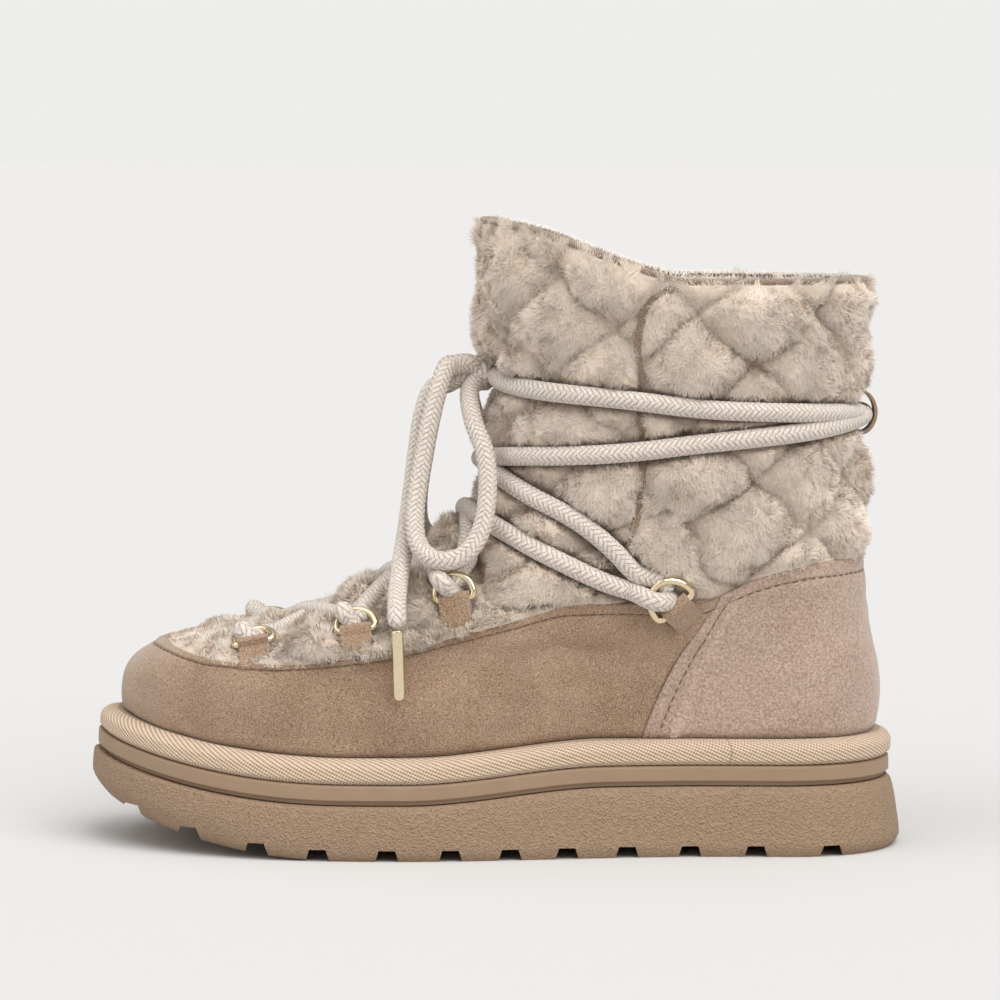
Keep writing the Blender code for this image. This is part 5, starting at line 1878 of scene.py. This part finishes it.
def layer_rings(rows, bottom, top, angles):
    rings = []
    for row in rows:
        x, y = sole_ring(row, angles)
        z = bottom + (top - bottom) * row.level + toe_lift(x) + heel_lift(x)
        rings.append(np.stack([x, y, z], axis=1))
    return np.array(rings)


TAPE_JOINT = -79.0
SHARP_DEGREES = 38.0
LUG_ROUND = 0.35


class BOOT_OT_platform(bpy.types.Operator):
    """Padded platform wrapped in woven tape, joined by one seam on the outer side."""

    bl_idname = "boot.platform"
    bl_label = "Platform wrap"

    def execute(self, context):
        rows = finer(PLATFORM, 22)
        angles, around = even_angles(PLATFORM[2])
        rings = layer_rings(rows, MIDSOLE_TOP, PLATFORM_TOP, angles)
        piece = capped("tape_platform", rings, finish("tape"))
        up = arc_length(rings[:, 0])
        along = np.arange(SOLE_COLUMNS + 1) * around / SOLE_COLUMNS
        inner_side = rings[0, :, 1] < 0
        joint = along[np.argmin(np.abs(rings[0, :, 0] - TAPE_JOINT) + 1000 * inner_side)]
        set_lay(piece, len(rows), SOLE_COLUMNS, lambda r, c: (along[c], up[r], np.abs(along[c] - joint)))
        placed(piece, "woven_tape", "platform_wrap")
        return {"FINISHED"}


class BOOT_OT_midsole(bpy.types.Operator):
    """Foam midsole with a groove under its wall."""

    bl_idname = "boot.midsole"
    bl_label = "Midsole"

    def execute(self, context):
        angles, _ = even_angles(MIDSOLE[3])
        rings = layer_rings(finer(MIDSOLE, 24), OUTSOLE_TOP, MIDSOLE_TOP - GAP, angles)
        placed(capped("foam_midsole", rings, finish("foam")), "midsole_foam", "midsole")
        return {"FINISHED"}


class BOOT_OT_outsole(bpy.types.Operator):
    """Rubber outsole with trapezoid gaps between its lugs."""

    bl_idname = "boot.outsole"
    bl_label = "Outsole"

    def execute(self, context):
        angles, _ = even_angles(OUTSOLE[2])
        rings = []
        for row in finer(OUTSOLE, 16):
            x, y = sole_ring(row, angles)
            top = OUTSOLE_TOP - GAP + heel_lift(x) + toe_lift(x)
            rings.append(np.stack([x, y, floor_lift(x) + (top - floor_lift(x)) * row.level], axis=1))
        sole = capped("rubber_outsole", rings, finish("rubber"))
        gaps = self.lug_gaps()
        cut = sole.modifiers.new("lugs", "BOOLEAN")
        cut.operation = "DIFFERENCE"
        cut.solver = "EXACT"
        cut.object = gaps
        graph = bpy.context.evaluated_depsgraph_get()
        mesh = bpy.data.meshes.new_from_object(sole.evaluated_get(graph))
        sole.modifiers.clear()
        old, sole.data = sole.data, mesh
        bpy.data.meshes.remove(old)
        bpy.data.objects.remove(gaps, do_unlink=True)
        mesh.set_sharp_from_angle(angle=math.radians(SHARP_DEGREES))
        softened(sole, LUG_ROUND, SHARP_DEGREES)
        placed(sole, "outsole_rubber", "outsole")
        return {"FINISHED"}

    def lug_gaps(self):
        """A row of gaps along each edge, and a middle row halfway between them."""
        floor = OUTSOLE[1]
        middles = [(a + b) / 2 for a, b in zip(LUG_GAPS, LUG_GAPS[1:])]
        spots = [(x, side) for x in LUG_GAPS for side in SIDES.values()] + [(x, 0) for x in middles[1:-1]]
        points, faces = [], []
        box = np.array([(0, 1, 2, 3), (7, 6, 5, 4), (0, 4, 5, 1), (1, 5, 6, 2), (2, 6, 7, 3), (3, 7, 4, 0)])
        for x, side in spots:
            edge = math.sqrt(outline_sq(x, floor.back, floor.front, floor.rear_half, floor.fore_half,
                                        SOLE_REAR_ROUND, SOLE_FORE_ROUND))
            middle = centre_line(x)
            reach = (middle - CENTRE_BLOCK, middle + CENTRE_BLOCK)
            if side:
                reach = sorted((middle + side * (edge - LUG_REACH), middle + side * (edge + LUG_PAST)))
            mouth = LUG_GAP_WIDTH - LUG_GAP_ROOF / 2
            low, high = floor_lift(x) - LUG_DEPTH, floor_lift(x) + LUG_DEPTH
            section = ((-mouth, low), (mouth, low), (LUG_GAP_ROOF / 2, high), (-LUG_GAP_ROOF / 2, high))
            faces.append(box + len(points) * 8)
            points.append([(x + along, y, z) for y in reach for along, z in section])
        gaps = add_mesh("lug_gaps", np.array(points), [np.vstack(faces)], finish("rubber"))
        outward(gaps)
        return gaps


class BOOT_OT_insole(bpy.types.Operator):
    """Felt sock over the footbed, slightly dished under the heel and the ball."""

    bl_idname = "boot.insole"
    bl_label = "Insole"

    def execute(self, context):
        row = Outline(0.0, SLICES[1].back, SLICES[1].front, SLICES[1].rear_half, SLICES[1].fore_half)
        rings = []
        for height, inset in ((GAP, INSOLE_INSET), (INSOLE_THICK * 0.8, INSOLE_INSET),
                              (INSOLE_THICK, INSOLE_INSET + 0.8), (INSOLE_THICK - 0.4, INSOLE_INSET + 6.0),
                              (INSOLE_THICK - 0.9, INSOLE_INSET + 14.0)):
            x, y = sole_ring(row, SOLE_ANGLES, inset)
            y = centre_line(x) + (y - centre_line(x)) * (1.0 - WAIST_NIP / row.rear_half)
            rings.append(np.stack([x, y, PLATFORM_TOP + height + toe_lift(x) + heel_lift(x)], axis=1))
        placed(capped("felt_insole", rings, finish("felt")), "insole_felt", "insole")
        return {"FINISHED"}


# Stage


FLOOR_HALF = 60.0
# Lamps: name, turn about X, turn about Y, power and spread in degrees
LAMPS = (("soft_overhead", -30.0, -24.0, 2.32, 55.0), ("soft_side", -25.0, 45.0, 0.78, 60.0))


# Surroundings by height of the direction: pale wall, dim room above it and a wide lamp overhead
SKY_STOPS = ((0.2, 1.0), (0.32, 0.4), (0.72, 0.4), (0.88, 1.2))


def shaded(colour, share):
    return (*(value * share for value in colour[:3]), 1.0)


class BOOT_OT_stage(bpy.types.Operator):
    """Pale floor, soft light from above and all round, and the camera of the photograph."""

    bl_idname = "boot.stage"
    bl_label = "Stage"

    def execute(self, context):
        self.camera(context.scene)
        self.light(context.scene)
        half = FLOOR_HALF / MM
        corners = [(-half, -half, 0.0), (half, -half, 0.0), (half, half, 0.0), (-half, half, 0.0)]
        floor = add_mesh("studio_floor", corners, [[[0, 1, 2, 3]]], finish("floor"))
        return {"FINISHED"}

    def camera(self, scene):
        data = bpy.data.cameras.new("photo_camera")
        data.sensor_width = CAMERA_SENSOR
        data.sensor_fit = "HORIZONTAL"
        data.lens = CAMERA_LENS
        camera = bpy.data.objects.new("photo_camera", data)
        scene.collection.objects.link(camera)
        turn = Matrix.Rotation(math.pi, 4, "Z") @ Matrix.Rotation(math.radians(90.0 - CAMERA_PITCH), 4, "X")
        roll = Matrix.Rotation(math.radians(CAMERA_ROLL), 4, "Z")
        camera.matrix_world = Matrix.Translation([place * MM for place in CAMERA_PLACE]) @ turn @ roll
        scene.camera = camera

    def light(self, scene):
        colours = scene.boot_colours
        scene.view_settings.view_transform = "Standard"
        world = bpy.data.worlds.new("studio_surroundings")
        world.use_nodes = True
        tree = world.node_tree
        way = add_node(tree, "ShaderNodeTexCoord").outputs["Generated"]
        up = add_node(tree, "ShaderNodeSeparateXYZ", {0: way}).outputs[2]
        sky = add_node(tree, "ShaderNodeValToRGB", {0: up})
        stops = sky.color_ramp.elements
        stops[0].position, stops[0].color = SKY_STOPS[0][0], colours.world
        stops[1].position, stops[1].color = SKY_STOPS[-1][0], shaded(colours.world, SKY_STOPS[-1][1])
        for place, share in SKY_STOPS[1:-1]:
            stops.new(place).color = shaded(colours.world, share)
        tree.links.new(sky.outputs[0], tree.nodes["Background"].inputs["Color"])
        scene.world = world
        for name, turn_x, turn_y, power, spread in LAMPS:
            sun = bpy.data.lights.new(name, "SUN")
            sun.angle = math.radians(spread)
            sun.energy = power
            lamp = bpy.data.objects.new(name, sun)
            lamp.rotation_euler = (math.radians(turn_x), math.radians(turn_y), 0.0)
            scene.collection.objects.link(lamp)


OPERATORS = (
    BOOT_OT_stage,
    BOOT_OT_lace,
    BOOT_OT_plush,
    BOOT_OT_rand,
    BOOT_OT_counter,
    BOOT_OT_bindings,
    BOOT_OT_rings,
    BOOT_OT_keeper,
    BOOT_OT_platform,
    BOOT_OT_midsole,
    BOOT_OT_outsole,
    BOOT_OT_insole,
)


class BOOT_PT_pieces(bpy.types.Panel):
    """Pieces of the boot, and the sizes and colours they are made with."""

    bl_idname = "BOOT_PT_pieces"
    bl_label = "Ankle boot"
    bl_space_type = "VIEW_3D"
    bl_region_type = "UI"
    bl_category = "Boot"

    def draw(self, context):
        for operator in OPERATORS:
            self.layout.operator(operator.bl_idname)
        for group in (context.scene.boot_sizes, context.scene.boot_colours):
            for name in group.bl_rna.properties.keys():
                if name not in ("rna_type", "name"):
                    self.layout.prop(group, name)


CLASSES = (BootColours, BootSizes, *OPERATORS, BOOT_PT_pieces)


def register():
    for cls in CLASSES:
        bpy.utils.register_class(cls)
    bpy.types.Scene.boot_colours = bpy.props.PointerProperty(type=BootColours)
    bpy.types.Scene.boot_sizes = bpy.props.PointerProperty(type=BootSizes)


def unregister():
    del bpy.types.Scene.boot_sizes
    del bpy.types.Scene.boot_colours
    for cls in reversed(CLASSES):
        bpy.utils.unregister_class(cls)


def main():
    register()
    for operator in OPERATORS:
        group, name = operator.bl_idname.split(".")
        getattr(getattr(bpy.ops, group), name)()


if __name__ == "__main__":
    main()
